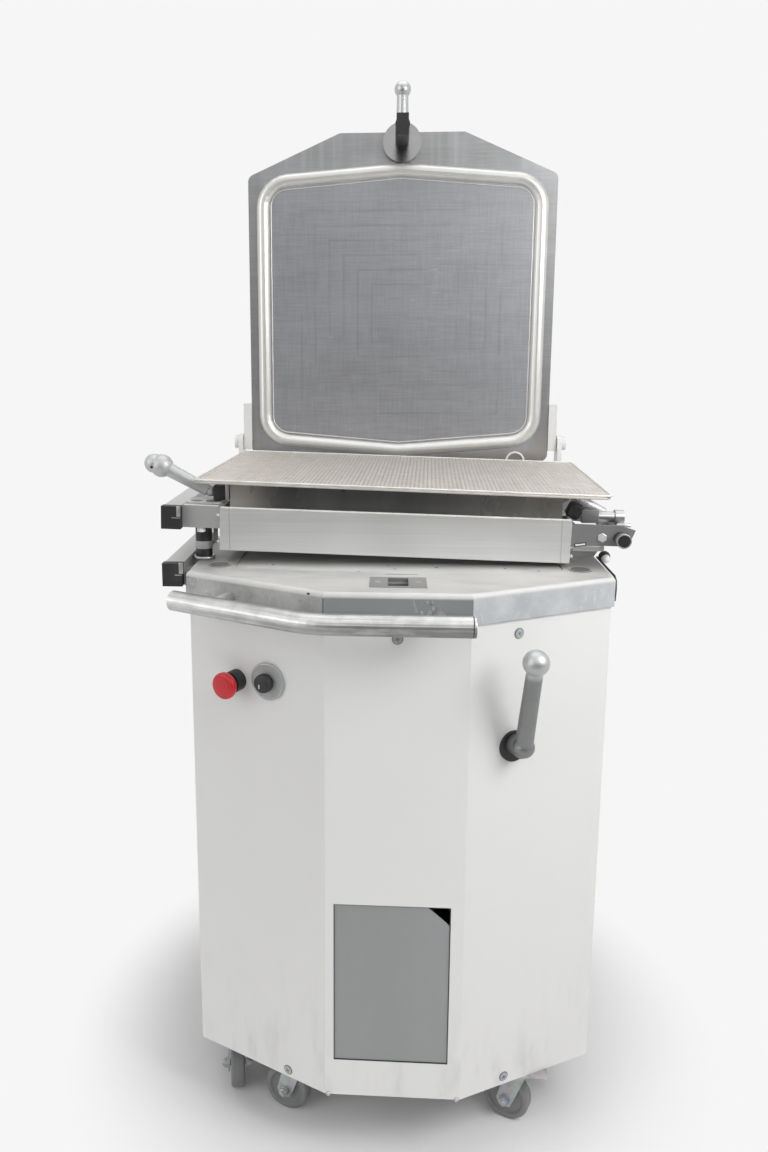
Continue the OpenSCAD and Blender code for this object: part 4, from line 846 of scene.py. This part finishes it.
def upright_corners(low, high, y):
    """The four corners of an upright rectangle that faces the front."""
    return [Vector((x, y, z)) for x, z in ((low.x, low.z), (high.x, low.z), (high.x, high.z), (low.x, high.z))]


def cross_screw(name, radius, rise):
    """A round-headed screw with a cross recess, head up at the origin."""
    head = rod(name, radius, rise, 28, location=(0, 0, rise / 2))
    pick(head, lambda middle, along: middle.z > rise * 0.9, "EDGE")
    bpy.ops.mesh.bevel(offset=rise * 0.7, segments=5)
    bpy.ops.object.mode_set(mode="OBJECT")
    for turn in (0.4, 0.4 + math.pi / 2):
        blade = block("recess", (radius * 1.1, radius * 0.22, rise * 0.9))
        blade.location.z = rise
        blade.rotation_euler.z = turn
        modify(head, "BOOLEAN", operation="DIFFERENCE", object=blade, solver="EXACT")
        bpy.data.objects.remove(blade)
    return smooth(head, 30)


def hex_bolt(name, radius, rise, washer=0.001):
    """A hexagon head with a chamfered crown on a washer, head up at the origin."""
    head = rod(name, radius, rise, 6, location=(0, 0, rise / 2 + washer))
    pick_top(head)
    bpy.ops.mesh.inset(thickness=radius * 0.12, depth=rise * 0.1)
    disc = rod("washer", radius * 1.35, washer, 28, location=(0, 0, washer / 2))
    modify(disc, "BEVEL", width=0.0003, segments=2)
    return joined([head, disc])


class DIVIDER_OT_finishes(bpy.types.Operator):
    """Builds the finishes and gives each solid its own"""

    bl_idname = "divider.finishes"
    bl_label = "Finishes"

    def execute(self, context):
        make_finishes(context.scene.divider_colours)
        for finish, nodes in NODE_FINISH.items():
            for node in nodes.split():
                mesh = NODES[node].data
                mesh.materials.clear()
                mesh.materials.append(FINISHES[finish])
        return {"FINISHED"}


class DIVIDER_OT_tray(bpy.types.Operator):
    """Weaves the tray's fine mesh and bends its rim wire"""

    bl_idname = "divider.tray"
    bl_label = "Mesh tray"

    def execute(self, context):
        fit = context.scene.divider_fittings
        width, deep, turn = 0.604, 0.404, math.radians(-2)
        middle = on_head((0.005, 0.039, 0.9645))
        place = at(middle) @ HEAD_LEAN @ Matrix.Rotation(turn, 4, "Z")
        top = place @ at((0, 0, 2 * fit.rim_band + fit.rim_wire * 0.8))
        half = Vector((width / 2 - fit.rim_wire, deep / 2 - fit.rim_wire, 0))
        mesh = begin(
            "tray_mesh", bpy.ops.mesh.primitive_grid_add,
            x_subdivisions=fit.mesh_across, y_subdivisions=fit.mesh_deep, size=1,
        )
        bpy.ops.transform.resize(value=(2 * half.x, 2 * half.y, 1))
        strands = {"use_even_offset": True, "use_boundary": True, "use_replace": True}
        modify(mesh, "WIREFRAME", thickness=fit.mesh_wire, **strands)
        mesh.scale.z = fit.mesh_flat
        settle(settle(mesh), top)
        corners = [Vector((x * half.x, y * half.y, 0)) for x, y in ((-1, -1), (1, -1), (1, 1), (-1, 1))]
        rim = settle(smooth_wire("tray_rim", rounded(corners, fit.rim_corner), fit.rim_wire), top)
        inner = [corner * (1 - fit.rim_band / width) for corner in corners]
        low = place @ at((0, 0, fit.rim_band))
        band = settle(smooth_wire("tray_band", rounded(inner, fit.rim_corner), fit.rim_band), low)
        lie = Matrix.Rotation(math.pi / 2, 4, "X")
        rods = barrel("tray_rods", fit.rim_band * 0.8, deep - 4 * fit.rim_band, 0, 10)
        rods = smooth(copies(rods, [low @ at((x, 0, 0)) @ lie for x in (-0.155, 0.0, 0.155)]), SOFT)
        for piece, finish in ((mesh, "tray_mesh"), (rim, "tray_rim"), (band, "tray_mesh"), (rods, "tray_mesh")):
            dress(piece, finish, "tray_steel", "head")
            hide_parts("mesh_tray")
        return {"FINISHED"}


class DIVIDER_OT_wheels(bpy.types.Operator):
    """Turns the caster wheels with a rounded tread, a rim lip and a hub"""

    bl_idname = "divider.wheels"
    bl_label = "Caster wheels"

    def execute(self, context):
        radius, width, dish = 0.036, 0.022, 0.0035
        tyre = rod("tyre", radius, width, 64)
        pick(tyre, lambda middle, normal: abs(normal.z) > 0.9)
        for share, depth in ((0.24, 0), (0.06, -dish), (0.34, 0), (0.03, dish)):
            bpy.ops.mesh.inset(thickness=radius * share, depth=depth)
        pick(tyre, lambda middle, along: (
            abs(abs(middle.z) - width / 2) < 1e-5 and middle.xy.length > radius * 0.97
        ), "EDGE")
        bpy.ops.mesh.bevel(offset=context.scene.divider_fittings.tread_round, segments=5)
        pick(tyre, lambda middle, along: (
            abs(along.z) < 1e-6 and radius * 0.2 < middle.xy.length < radius * 0.8
        ), "EDGE")
        bpy.ops.mesh.bevel(offset=0.0006, segments=2)
        smooth(tyre)
        nut_radius, nut_out = 0.007392, width / 2 + 0.0092
        nut = rod("axle_nut", nut_radius, 0.004, 6)
        pick_top(nut)
        bpy.ops.mesh.inset(thickness=0.0022)
        bpy.ops.mesh.inset(thickness=0.0004, depth=0.0026)
        modify(nut, "BEVEL", width=0.0005, segments=2)
        for name in WHEELS:
            hub, axis = (Vector(JOINTS["roll_" + name][key]) for key in ("pos_m", "axis"))
            wheel = twin(tyre, "tyre_" + name)
            put(wheel, facing(hub, axis), "wheel_tread", "wheel_grey", "wheel_" + name)
            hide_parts("wheel_" + name)
            spots = [facing(hub + axis * side * nut_out, axis * side) for side in SIDES]
            spread(twin(nut, "axle_nut_" + name), spots, *ZINC, "fork_" + name)
        for pattern in (tyre, nut):
            bpy.data.objects.remove(pattern)
        return {"FINISHED"}


class DIVIDER_OT_screws(bpy.types.Operator):
    """Sets the panel, striker and hinge plate screws with a painted shadow ring under each panel screw, the
    studs, and a black wire of painted shade in the gap round the access panel
    """

    bl_idname = "divider.screws"
    bl_label = "Screws"

    def execute(self, context):
        fit = context.scene.divider_fittings
        front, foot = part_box("front_panel")[0].yz
        spots = [
            on_facet(1, 0.163, 0.7995), facing((0, front, 0.799), FRONT),
            on_facet(-1, 0.155, 0.117), on_facet(1, 0.164, 0.119),
        ]
        screw = cross_screw("panel_screws", fit.screw_head, fit.screw_rise)
        spread(screw, spots, *ZINC, "cabinet")
        # A dark disc under each panel screw's head is a painted shadow ring.
        shadow_ring = barrel("screw_shadow_rings", fit.screw_head * 1.22, 0.0006)
        spread(shadow_ring, spots, *DARK, "cabinet")
        low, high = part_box("access_panel")
        lap = Vector((0.0075, 0, 0.0075))
        # A black wire in the gap round the access panel is painted shade.
        gap = wire_loop("panel_gap_shade", upright_corners(low + lap, high - lap, low.y - 0.0004), 0.0011)
        dress(gap, *BLACK, "cabinet")
        spots = [at((side * (CREASE - 0.004), front - 0.0004, foot + 0.0010)) for side in SIDES]
        spread(ball("edge_studs", 0.0034), spots, *ZINC, "cabinet")
        low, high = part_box("striker_plate")
        spots = [facing((side * 0.0275, (low.y + high.y) / 2, high.z), UP, (0, 1, 0)) for side in SIDES]
        spread(cross_screw("striker_screws", 0.0042, 0.0008), spots, *ZINC, "cabinet")
        spot = facing((0.2939, level_box("head_frame")[0].y, 0.9067), FRONT)
        spread(hex_bolt("plate_bolt", 0.0068, 0.0046), [spot], *PALE, "head")
        return {"FINISHED"}


class DIVIDER_OT_handle_ends(bpy.types.Operator):
    """Closes the push handle's right end with a cap on a dark ring"""

    bl_idname = "divider.handle_ends"
    bl_label = "Handle ends"

    def execute(self, context):
        low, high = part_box("push_handle")
        radius = (high.z - low.z) / 2
        end = Vector((high.x, low.y + radius, (high.z + low.z) / 2))
        cap = barrel("handle_cap", radius - 0.0002, 0.004, 0.0012)
        put(cap, facing(end + Vector((0.0028, 0, 0)), RIGHT), "handle_tube", "polished_lever", "cabinet")
        ring = barrel("handle_ring", radius - 0.0001, 0.0010)
        put(ring, facing(end + Vector((0.0004, 0, 0)), RIGHT), *BLACK, "cabinet")
        return {"FINISHED"}


class DIVIDER_OT_head_trim(bpy.types.Operator):
    """Lays bright wires as painted edge highlights along the apron's and the bracket's top edges, and sets the
    rails' tabs, slits, catch strip and bolts
    """

    bl_idname = "divider.head_trim"
    bl_label = "Head trim"

    def execute(self, context):
        lip = context.scene.divider_fittings.lip
        # Bright wires along the top front edges stand for painted edge highlights.
        for name, node, wire, sink, drop, slot in (
            ("apron_lip", "head_frame", lip, 0.7, 0.3, "plain_steel"),
            ("bracket_lip", "head_bracket", lip * 0.55, 0.4, 0.2, "rail_alu"),
        ):
            low, high = level_box(node)
            ends = [on_head((x, low.y + lip * sink, high.z - lip * drop)) for x in (low.x + lip, high.x - lip)]
            dress(smooth_wire(name, ends, wire, False), "tray_rim", slot, "head")
        low, high = level_box("upper_cap")
        tab = block("rail_tabs", (0.0055, 0.0012, 0.0160), 0.0004)
        spot = on_head((high.x - 0.0030, low.y - 0.0002, high.z - 0.0072))
        spread(tab, [at(spot) @ HEAD_LEAN], *RAIL, "head")
        slit = block("cap_slit_upper", (0.0130, 0.0006, 0.0009))
        spot = on_head((high.x - 0.0068, low.y, (low.z + high.z) / 2))
        spread(slit, [at(spot) @ HEAD_LEAN], *ZINC, "head")
        strip = block("catch_strip", (0.0062, 0.0040, 0.0270), 0.0006)
        put(strip, at((-0.2757, -0.1180, 0.8990)), *DARK, "head")
        bolts = (
            (-0.2664, -0.1465, 0.9332), (-0.2664, -0.1450, 0.8934),
            (0.2517, -0.1430, 0.8905), (0.2517, -0.1430, 0.8772),
        )
        spread(ball("apron_bolts", 0.0030), [at(spot) for spot in bolts], *PALE, "head")
        low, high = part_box("lower_cap")
        tab = block("lower_tab", (0.0062, 0.0012, 0.0160), 0.0004)
        put(tab, at((high.x - 0.0012, low.y - 0.0002, high.z - 0.0068)), *RAIL, "cabinet")
        slit = block("cap_slit_lower", (0.0100, 0.0006, 0.0014))
        spread(slit, [at((high.x - 0.0054, low.y, (low.z + high.z) / 2))], *ZINC, "cabinet")
        return {"FINISHED"}


class DIVIDER_OT_clamp_trim(bpy.types.Operator):
    """Casts the clamp's ball lever, and sets its bush, its cheek and the oval link plate with two dark discs
    painted as the shade in its holes
    """

    bl_idname = "divider.clamp_trim"
    bl_label = "Cassette clamp"

    def execute(self, context):
        y = JOINTS["clamp_turn"]["pos_m"][1]
        grip, heel = Vector((-0.3550, y, 1.0026)), Vector((-0.2862, y, 0.9660))
        run = grip - heel
        stem = settle(taper("clamp_cast", 0.0088, 0.0108, run.length, 40), facing((heel + grip) / 2, run))
        knob = settle(ball("knob", 0.0173), at(grip))
        tip = settle(ball("tip", 0.0143), at(grip + Vector((-0.0117, 0, 0.0036))))
        root = settle(ball("root", 0.0080), at(heel + Vector((0.0040, 0, -0.0012))))
        lever = joined([stem, knob, tip, root])
        dress(lever, "lever_cast", "polished_lever", "clamp")
        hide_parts("clamp_lever")
        spot = facing((-0.3669, y - 0.0134, 1.0022), (-0.15, -1, -0.25))
        put(barrel("clamp_eye", 0.0022, 0.0016), spot, *BLACK, "clamp")
        bush = block("clamp_bush", (0.0180, 0.0190, 0.0225), 0.0016)
        put(bush, at((-0.2674, y, 0.9632)), *BLACK, "head")
        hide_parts("lever_bush")
        cheek = block("clamp_cheek", (0.0048, 0.0260, 0.0240), 0.0006)
        put(cheek, at((-0.2556, y + 0.0040, 0.9640)), *RAIL, "head")
        low, high = level_box("oval_plate")
        wide, deep = high.x - low.x, high.y - low.y
        middle = on_head(((low.x + high.x) / 2, low.y + deep * 0.30, high.z - 0.0026))
        lean = at(middle) @ HEAD_LEAN @ Matrix.Rotation(math.radians(8), 4, "X")
        link = block("oval_link", (wide, deep * 0.82, 0.0030))
        bpy.ops.object.mode_set(mode="EDIT")
        pick(link, lambda middle, along: abs(along.z) > 0.002, "EDGE")
        bpy.ops.mesh.bevel(offset=deep * 0.40, segments=8)
        put(smooth(link), lean, "pale_zinc", "plain_steel", "head")
        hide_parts("oval_plate")
        # Two dark discs on the link plate are painted shade standing for its holes.
        lens = barrel("oval_hole_shades", deep * 0.24, 0.0008)
        lens.scale.x = 1.7
        spots = [lean @ at((side * wide * 0.22, 0, 0.0012)) for side in SIDES]
        spread(settle(lens), spots, *DARK, "head")
        return {"FINISHED"}


class DIVIDER_OT_stop_button(bpy.types.Operator):
    """Turns the stop button's mushroom with its raised face, and its black neck"""

    bl_idname = "divider.stop_button"
    bl_label = "Stop button"

    def execute(self, context):
        crown = furthest("estop_head", LEFT_OUT)
        cap, face, neck = [
            settle(barrel(name, radius, depth, round_off, vertices), facing(crown - LEFT_OUT * sink, LEFT_OUT))
            for name, radius, depth, round_off, vertices, sink in (
                ("stop_cap", 0.0190, 0.0105, 0.0034, 64, 0.0066),
                ("stop_face", 0.0128, 0.0030, 0.0009, 64, 0.0017),
                ("stop_neck", 0.0132, 0.0110, 0.0010, 40, 0.0165),
            )
        ]
        whole = joined([cap, face])
        dress(whole, "stop_red", "stop_red", "stop")
        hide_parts("estop_head")
        dress(neck, *BLACK, "stop")
        return {"FINISHED"}


class DIVIDER_OT_valve_lever(bpy.types.Operator):
    """Casts the valve's ball lever on its hub"""

    bl_idname = "divider.valve_lever"
    bl_label = "Valve lever"

    def execute(self, context):
        pivot = Vector(JOINTS["valve_turn"]["pos_m"])
        grip, heel = Vector((0.1766, -0.3450, 0.7815)), Vector((0.1716, -0.2990, 0.6470))
        run = grip - heel
        stem = settle(taper("valve_cast", 0.0124, 0.0110, run.length, 48), facing((heel + grip) / 2, run))
        knob = settle(ball("valve_knob", 0.0174), at(grip))
        foot = settle(ball("valve_heel", 0.0150), at(heel))
        middle = pivot + RIGHT_OUT * 0.0125 + Vector((0, 0, 0.0040))
        hub = settle(barrel("valve_hub", 0.0138, 0.0240), facing(middle, RIGHT_OUT))
        lever = joined([stem, knob, foot, hub])
        dress(lever, "lever_dark", "polished_lever", "valve")
        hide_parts("valve_lever")
        return {"FINISHED"}


class DIVIDER_OT_rest_trim(bpy.types.Operator):
    """Puts a collar, a sleeve and a foot ring on the rest post, and a pale nut under the bracket"""

    bl_idname = "divider.rest_trim"
    bl_label = "Rest post"

    def execute(self, context):
        low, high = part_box("rest_post")
        middle, radius = (low + high) / 2, (high.x - low.x) / 2
        for piece, rise, finish, slot in (
            (barrel("post_collar", radius, 0.0235, 0.0006), 0.0390, *BLACK),
            (barrel("post_sleeve", radius + 0.0006, 0.012, 0.0008), 0.0220, "bracket_steel", "plain_steel"),
            (hoop("post_foot", radius + 0.0020, 0.0026), 0.0026, "chrome", "plain_steel"),
        ):
            put(piece, at((middle.x, middle.y, low.z + rise)), finish, slot, "cabinet")
        nut = barrel("bracket_nut", 0.0066, 0.0075, 0.0010, 6)
        spot = on_head((middle.x + 0.0006, low.y - 0.0075, level_box("head_bracket")[0].z - 0.0038))
        spread(nut, [at(spot)], *WHITE, "head")
        return {"FINISHED"}


class DIVIDER_OT_pin_trim(bpy.types.Operator):
    """Builds the right hinge's small pieces: pin cup, slot, cotter, guide knob, cheek, arm, skirt and buffer"""

    bl_idname = "divider.pin_trim"
    bl_label = "Head hinge"

    def execute(self, context):
        low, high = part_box("head_pin")
        radius = (high.x - low.x) / 2
        cup = rod("pin_cup", radius + 0.0003, 0.0110, 44)
        pick_top(cup)
        bpy.ops.mesh.inset(thickness=0.0010)
        bpy.ops.mesh.inset(thickness=0.0002, depth=-0.0008)
        for piece, back, finish, slot in (
            (smooth(cup), 0.0052, "dark_plate", "black_steel"),
            (barrel("pin_face", radius - 0.0016, 0.0010), 0.0002, "black_steel", "black_steel"),
            (hoop("pin_rim", radius - 0.0002, 0.0010), 0.0006, "chrome", "zinc"),
        ):
            put(piece, facing((HEAD_PIN.x, low.y + back, HEAD_PIN.z), FRONT), finish, slot, "cabinet")
        front = level_box("hinge_plates")[0].y
        lean = Matrix.Rotation(math.radians(8), 4, "Z")
        for name, size, finish, slot in (
            ("slot_rim", (0.0175, 0.0050, 0.0006), *BLACK),
            ("slot_floor", (0.0140, 0.0024, 0.0010), *WHITE),
        ):
            put(block(name, size, 0.0003), facing((0.2632, front, 0.8960), FRONT) @ lean, finish, slot, "head")
        cotter = barrel("pin_cotter", 0.0030, 0.0210, 0.0008)
        put(cotter, facing((0.3285, -0.1280, 0.9212), RIGHT), "chrome", "zinc", "head")
        low, high = level_box("guide_block")
        middle = (low + high) / 2
        knob = block("guide_knob", (0.0215, 0.0235, 0.0250), 0.0068, 5)
        spot = at(on_head(middle + Vector((-0.0010, 0, 0.0080)))) @ Matrix.Rotation(math.radians(24), 4, "Y")
        put(knob, spot, *BLACK, "head")
        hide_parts("guide_block")
        cheek = block("guide_cheek", (0.0250, 0.0230, 0.0200), 0.0010)
        spot = on_head((high.x + 0.0110, middle.y + 0.0010, middle.z + 0.0012))
        put(cheek, at(spot), *DARK, "head")
        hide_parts("guide_block")
        arm = taper("guide_arm", 0.0110, 0.0060, 0.0500, 32, 0.0020)
        spot = facing(on_head((0.2850, middle.y + 0.0190, 0.9430)), (0.92, 0, -0.40))
        put(arm, spot, "lever_cast", "polished_lever", "head")
        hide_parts("guide_block")
        skirt = block("plate_skirt", (0.0445, 0.0030, 0.0080), 0.0006)
        put(skirt, at((0.2755, front + 0.0022, 0.8902)), *RAIL, "head")
        buffer = ball("edge_buffer", 0.0068)
        put(buffer, at((0.3108, -0.1030, 0.8652)), *WHITE, "cabinet")
        # The black cup behind the white buffer is partly a black part and partly painted shadow in the gap
        # under the hinge plate.
        cup = ball("buffer_cup_shadow", 0.0088)
        put(cup, at((0.3100, -0.0970, 0.8672)), *BLACK, "cabinet")
        return {"FINISHED"}


class DIVIDER_OT_table_marks(bpy.types.Operator):
    """Engraves the short line behind the striker plate and lays a black loop of painted shade round the access
    panel's edge
    """

    bl_idname = "divider.table_marks"
    bl_label = "Table line and panel seal"

    def execute(self, context):
        line = block("engraved_line", (0.0460, 0.0022, 0.0003))
        spot = at((0.0053, -0.2076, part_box("table_top")[1].z)) @ Matrix.Rotation(math.radians(1.5), 4, "Z")
        put(line, spot, *DARK, "cabinet")
        low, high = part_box("access_panel")
        wire = context.scene.divider_fittings.seal
        corners = upright_corners(low, high, low.y + wire * 0.3)
        # The panel's upper right corner is cut off
        cut, corner = 0.020, corners[2]
        corners[2:3] = [corner - Vector((0, 0, cut)), corner - Vector((cut, 0, 0))]
        # The black loop round the access panel's edge is painted shade.
        dress(wire_loop("panel_shade_loop", corners, wire), *BLACK, "cabinet")
        return {"FINISHED"}


class DIVIDER_OT_lid_eye(bpy.types.Operator):
    """Sets the white eye at the foot of the lid"""

    bl_idname = "divider.lid_eye"
    bl_label = "Lid eye"

    def execute(self, context):
        low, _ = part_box("lid_plate")
        spot = facing((0.2178, low.y - 0.0018, low.z + 0.0010), FRONT)
        put(hoop("lid_eye", 0.0160, 0.0020), spot, *WHITE, "lid")
        return {"FINISHED"}


class DIVIDER_OT_edge_seals(bpy.types.Operator):
    """Lays the black edge strips at the table's two front corners"""

    bl_idname = "divider.edge_seals"
    bl_label = "Edge seals"

    def execute(self, context):
        low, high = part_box("table_top")
        thick, corner_y = 0.0017, -0.2045
        foot = low.z - high.z + 0.0010
        for name, x, wire, run in (
            ("edge_seal_right", high.x + thick * 0.5, thick, (
                (-0.0010, 0.1245, 0.0006), (-0.0006, 0.0545, -0.0002), (0, 0.010, -0.0010),
                (0.0004, 0.002, -0.0060), (0.0004, 0, -0.0180), (-0.0004, -0.0004, -0.0345),
            )),
            ("edge_seal_left", low.x, thick * 0.7, (
                (0.0030, 0.0080, -0.0012), (0.0004, 0.0012, -0.0060), (0, -0.0004, -0.0120), (0, -0.0004, foot),
            )),
        ):
            start = Vector((x, corner_y, high.z))
            strip = smooth_wire(name, [start + Vector(step) for step in run], wire, False)
            dress(strip, *BLACK, "cabinet")
        return {"FINISHED"}


class DIVIDER_OT_switch_marks(bpy.types.Operator):
    """Adds the start switch's raised ring, its round knob and a small white bar on the knob as a painted
    highlight
    """

    bl_idname = "divider.switch_marks"
    bl_label = "Start switch"

    def execute(self, context):
        foot, out = (Vector(JOINTS["start_turn"][key]) for key in ("pos_m", "axis"))
        ring = hoop("switch_ring", 0.0248, 0.0010)
        ring.scale.z = 0.7
        put(settle(ring), facing(foot + out * 0.0042, out), "zinc", "switch_grey", "cabinet")
        knob = barrel("knob_cap", 0.0134, 0.0155, 0.0050, 48)
        put(knob, facing(foot + out * 0.0120, out), *BLACK, "start")
        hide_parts("start_knob")
        # A small white bar on the knob is a painted highlight.
        mark = block("knob_highlight", (0.0016, 0.0062, 0.0008), 0.0003)
        spot = facing(foot + out * 0.0197, out) @ at((-0.0026, -0.0030, 0))
        put(mark, spot, *WHITE, "start")
        return {"FINISHED"}


class DIVIDER_OT_lid_line(bpy.types.Operator):
    """Runs the thin bright line inside the bead of the lid"""

    bl_idname = "divider.lid_line"
    bl_label = "Lid line"

    def execute(self, context):
        low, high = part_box("lid_bead")
        inset, rise, face = 0.0262, 0.020, high.y - 0.0003
        half, bottom, top = high.x - inset, low.z + inset, high.z - inset
        corners = [
            Vector((x, face, z)) for x, z in (
                (0, bottom), (half, bottom + rise), (half, top - rise),
                (0, top), (-half, top - rise), (-half, bottom + rise),
            )
        ]
        dress(smooth_wire("lid_line", rounded(corners, 0.030), 0.0010), "bead_bright", "bead_alu", "lid")
        return {"FINISHED"}


class DIVIDER_OT_studio(bpy.types.Operator):
    """Sets the floor, the lights, the pale surround and the camera"""

    bl_idname = "divider.studio"
    bl_label = "Studio"

    def execute(self, context):
        stage = context.scene.divider_stage
        context.scene.view_settings.view_transform = "Standard"
        self.lay_floor(stage)
        self.light_room(stage)
        self.hang_light("key", (1.05, -0.90, 1.55), (0.20, -0.25, 0.70), (0.7, 0.7), stage.key_power)
        self.hang_light("front", (0.6, -3.0, 2.7), (0.0, -0.1, 0.85), (3.0, 2.4), stage.front_power)
        self.hang_light("fill", (-2.5, -2.1, 1.7), (0.0, -0.1, 0.8), (2.2, 2.6), stage.fill_power)
        self.hang_light("top", (0.0, 0.3, 3.6), (0.0, 0.0, 0.6), (2.8, 2.8), stage.top_power)
        eye = bpy.data.cameras.new("camera")
        eye.lens = stage.camera_lens
        eye.sensor_width = 36
        eye.shift_x, eye.shift_y = stage.camera_shift
        camera = bpy.data.objects.new("camera", eye)
        camera.location = stage.camera_at
        camera.rotation_euler = (math.pi / 2 - stage.camera_pitch, 0, -stage.camera_yaw)
        context.scene.collection.objects.link(camera)
        context.scene.camera = camera
        return {"FINISHED"}

    def lay_floor(self, stage):
        """A pale floor that keeps the shadow near the machine and runs out into the background."""
        take()
        bpy.ops.mesh.primitive_plane_add(size=40)
        floor = bpy.context.object
        floor.name = "floor"
        material = bpy.data.materials.new("floor")
        graph = Graph(material)
        across, back, _ = graph.split()
        # The floor darkens in front, but not for the camera, so that upright metal mirrors a dim room
        dim_from, dim_to = 1.7, 2.4
        dim = (0 - back).over(dim_from, dim_to) * (1 - graph.ray("Camera"))
        shade = graph.mix(dim, tuple(stage.backdrop), tuple(stage.far_floor))
        graph.shade(Base_Color=shade, Roughness=0.85)
        away = (across * across + back * back).root()
        faded = graph.ray("Camera").larger(graph.ray("Glossy")) * away.over(stage.fade_from, stage.fade_to)
        glow = graph.node("ShaderNodeEmission", None, {"Color": shade, "Strength": 1.0})
        lit = Wire(graph, graph.shader.outputs[0])
        graph.close(graph.node("ShaderNodeMixShader", None, {0: faded, 1: lit, 2: glow}), "Material Output")
        floor.data.materials.append(material)

    def light_room(self, stage):
        """A white room with a dim front wall; the camera sees only its backdrop colour."""
        world = bpy.data.worlds.new("room")
        bpy.context.scene.world = world
        graph = Graph(world)
        seen = graph.ray("Camera").larger(graph.ray("Transmission"))
        aim = graph.node("ShaderNodeTexCoord", out="Generated")
        front = graph.node("ShaderNodeSeparateXYZ", None, {"Vector": aim}, "Y")
        wall = stage.front_wall + front.over(-0.97, -0.60) * (1 - stage.front_wall)
        mirrored = 0.95
        level = stage.surround + graph.ray("Glossy") * (mirrored - stage.surround)
        room = graph.node("ShaderNodeBackground", None, {"Color": (1, 1, 1, 1), "Strength": wall * level})
        plain = graph.node("ShaderNodeBackground", None, {"Color": (*stage.backdrop, 1), "Strength": 1.0})
        graph.close(graph.node("ShaderNodeMixShader", None, {0: seen, 1: room, 2: plain}), "World Output")

    def hang_light(self, name, place, target, size, power):
        """A large soft panel that looks at a target."""
        lamp = bpy.data.lights.new(name, "AREA")
        lamp.shape = "RECTANGLE"
        lamp.size, lamp.size_y = size
        lamp.energy = power
        holder = bpy.data.objects.new(name, lamp)
        holder.location = place
        holder.rotation_euler = (Vector(target) - Vector(place)).to_track_quat("-Z", "Y").to_euler()
        bpy.context.scene.collection.objects.link(holder)


STEPS = (
    DIVIDER_OT_finishes, DIVIDER_OT_tray, DIVIDER_OT_wheels, DIVIDER_OT_screws, DIVIDER_OT_handle_ends,
    DIVIDER_OT_head_trim, DIVIDER_OT_clamp_trim, DIVIDER_OT_stop_button, DIVIDER_OT_valve_lever,
    DIVIDER_OT_rest_trim, DIVIDER_OT_pin_trim, DIVIDER_OT_table_marks, DIVIDER_OT_lid_eye,
    DIVIDER_OT_edge_seals, DIVIDER_OT_switch_marks, DIVIDER_OT_lid_line, DIVIDER_OT_studio,
)

GROUPS = {
    "divider_colours": DividerColours,
    "divider_fittings": DividerFittings,
    "divider_stage": DividerStage,
}


class DIVIDER_PT_sidebar(bpy.types.Panel):
    """Lists the steps and the values"""

    bl_label = "Dough divider"
    bl_idname = "DIVIDER_PT_sidebar"
    bl_space_type = "VIEW_3D"
    bl_region_type = "UI"
    bl_category = "Divider"

    def draw(self, context):
        for step in STEPS:
            self.layout.operator(step.bl_idname)
        for name, group in GROUPS.items():
            box = self.layout.box()
            for value in group.__annotations__:
                box.prop(getattr(context.scene, name), value)


def register():
    """Registers the classes and hangs the values on the scene."""
    for made in (*GROUPS.values(), *STEPS, DIVIDER_PT_sidebar):
        bpy.utils.register_class(made)
    for name, group in GROUPS.items():
        setattr(bpy.types.Scene, name, PointerProperty(type=group))


def unregister():
    """Takes all of it off again."""
    for name in GROUPS:
        delattr(bpy.types.Scene, name)
    for made in reversed((*GROUPS.values(), *STEPS, DIVIDER_PT_sidebar)):
        bpy.utils.unregister_class(made)


def main():
    """Runs the steps in order."""
    register()
    for step in STEPS:
        group, name = step.bl_idname.split(".")
        getattr(getattr(bpy.ops, group), name)()


if __name__ == "__main__":
    main()
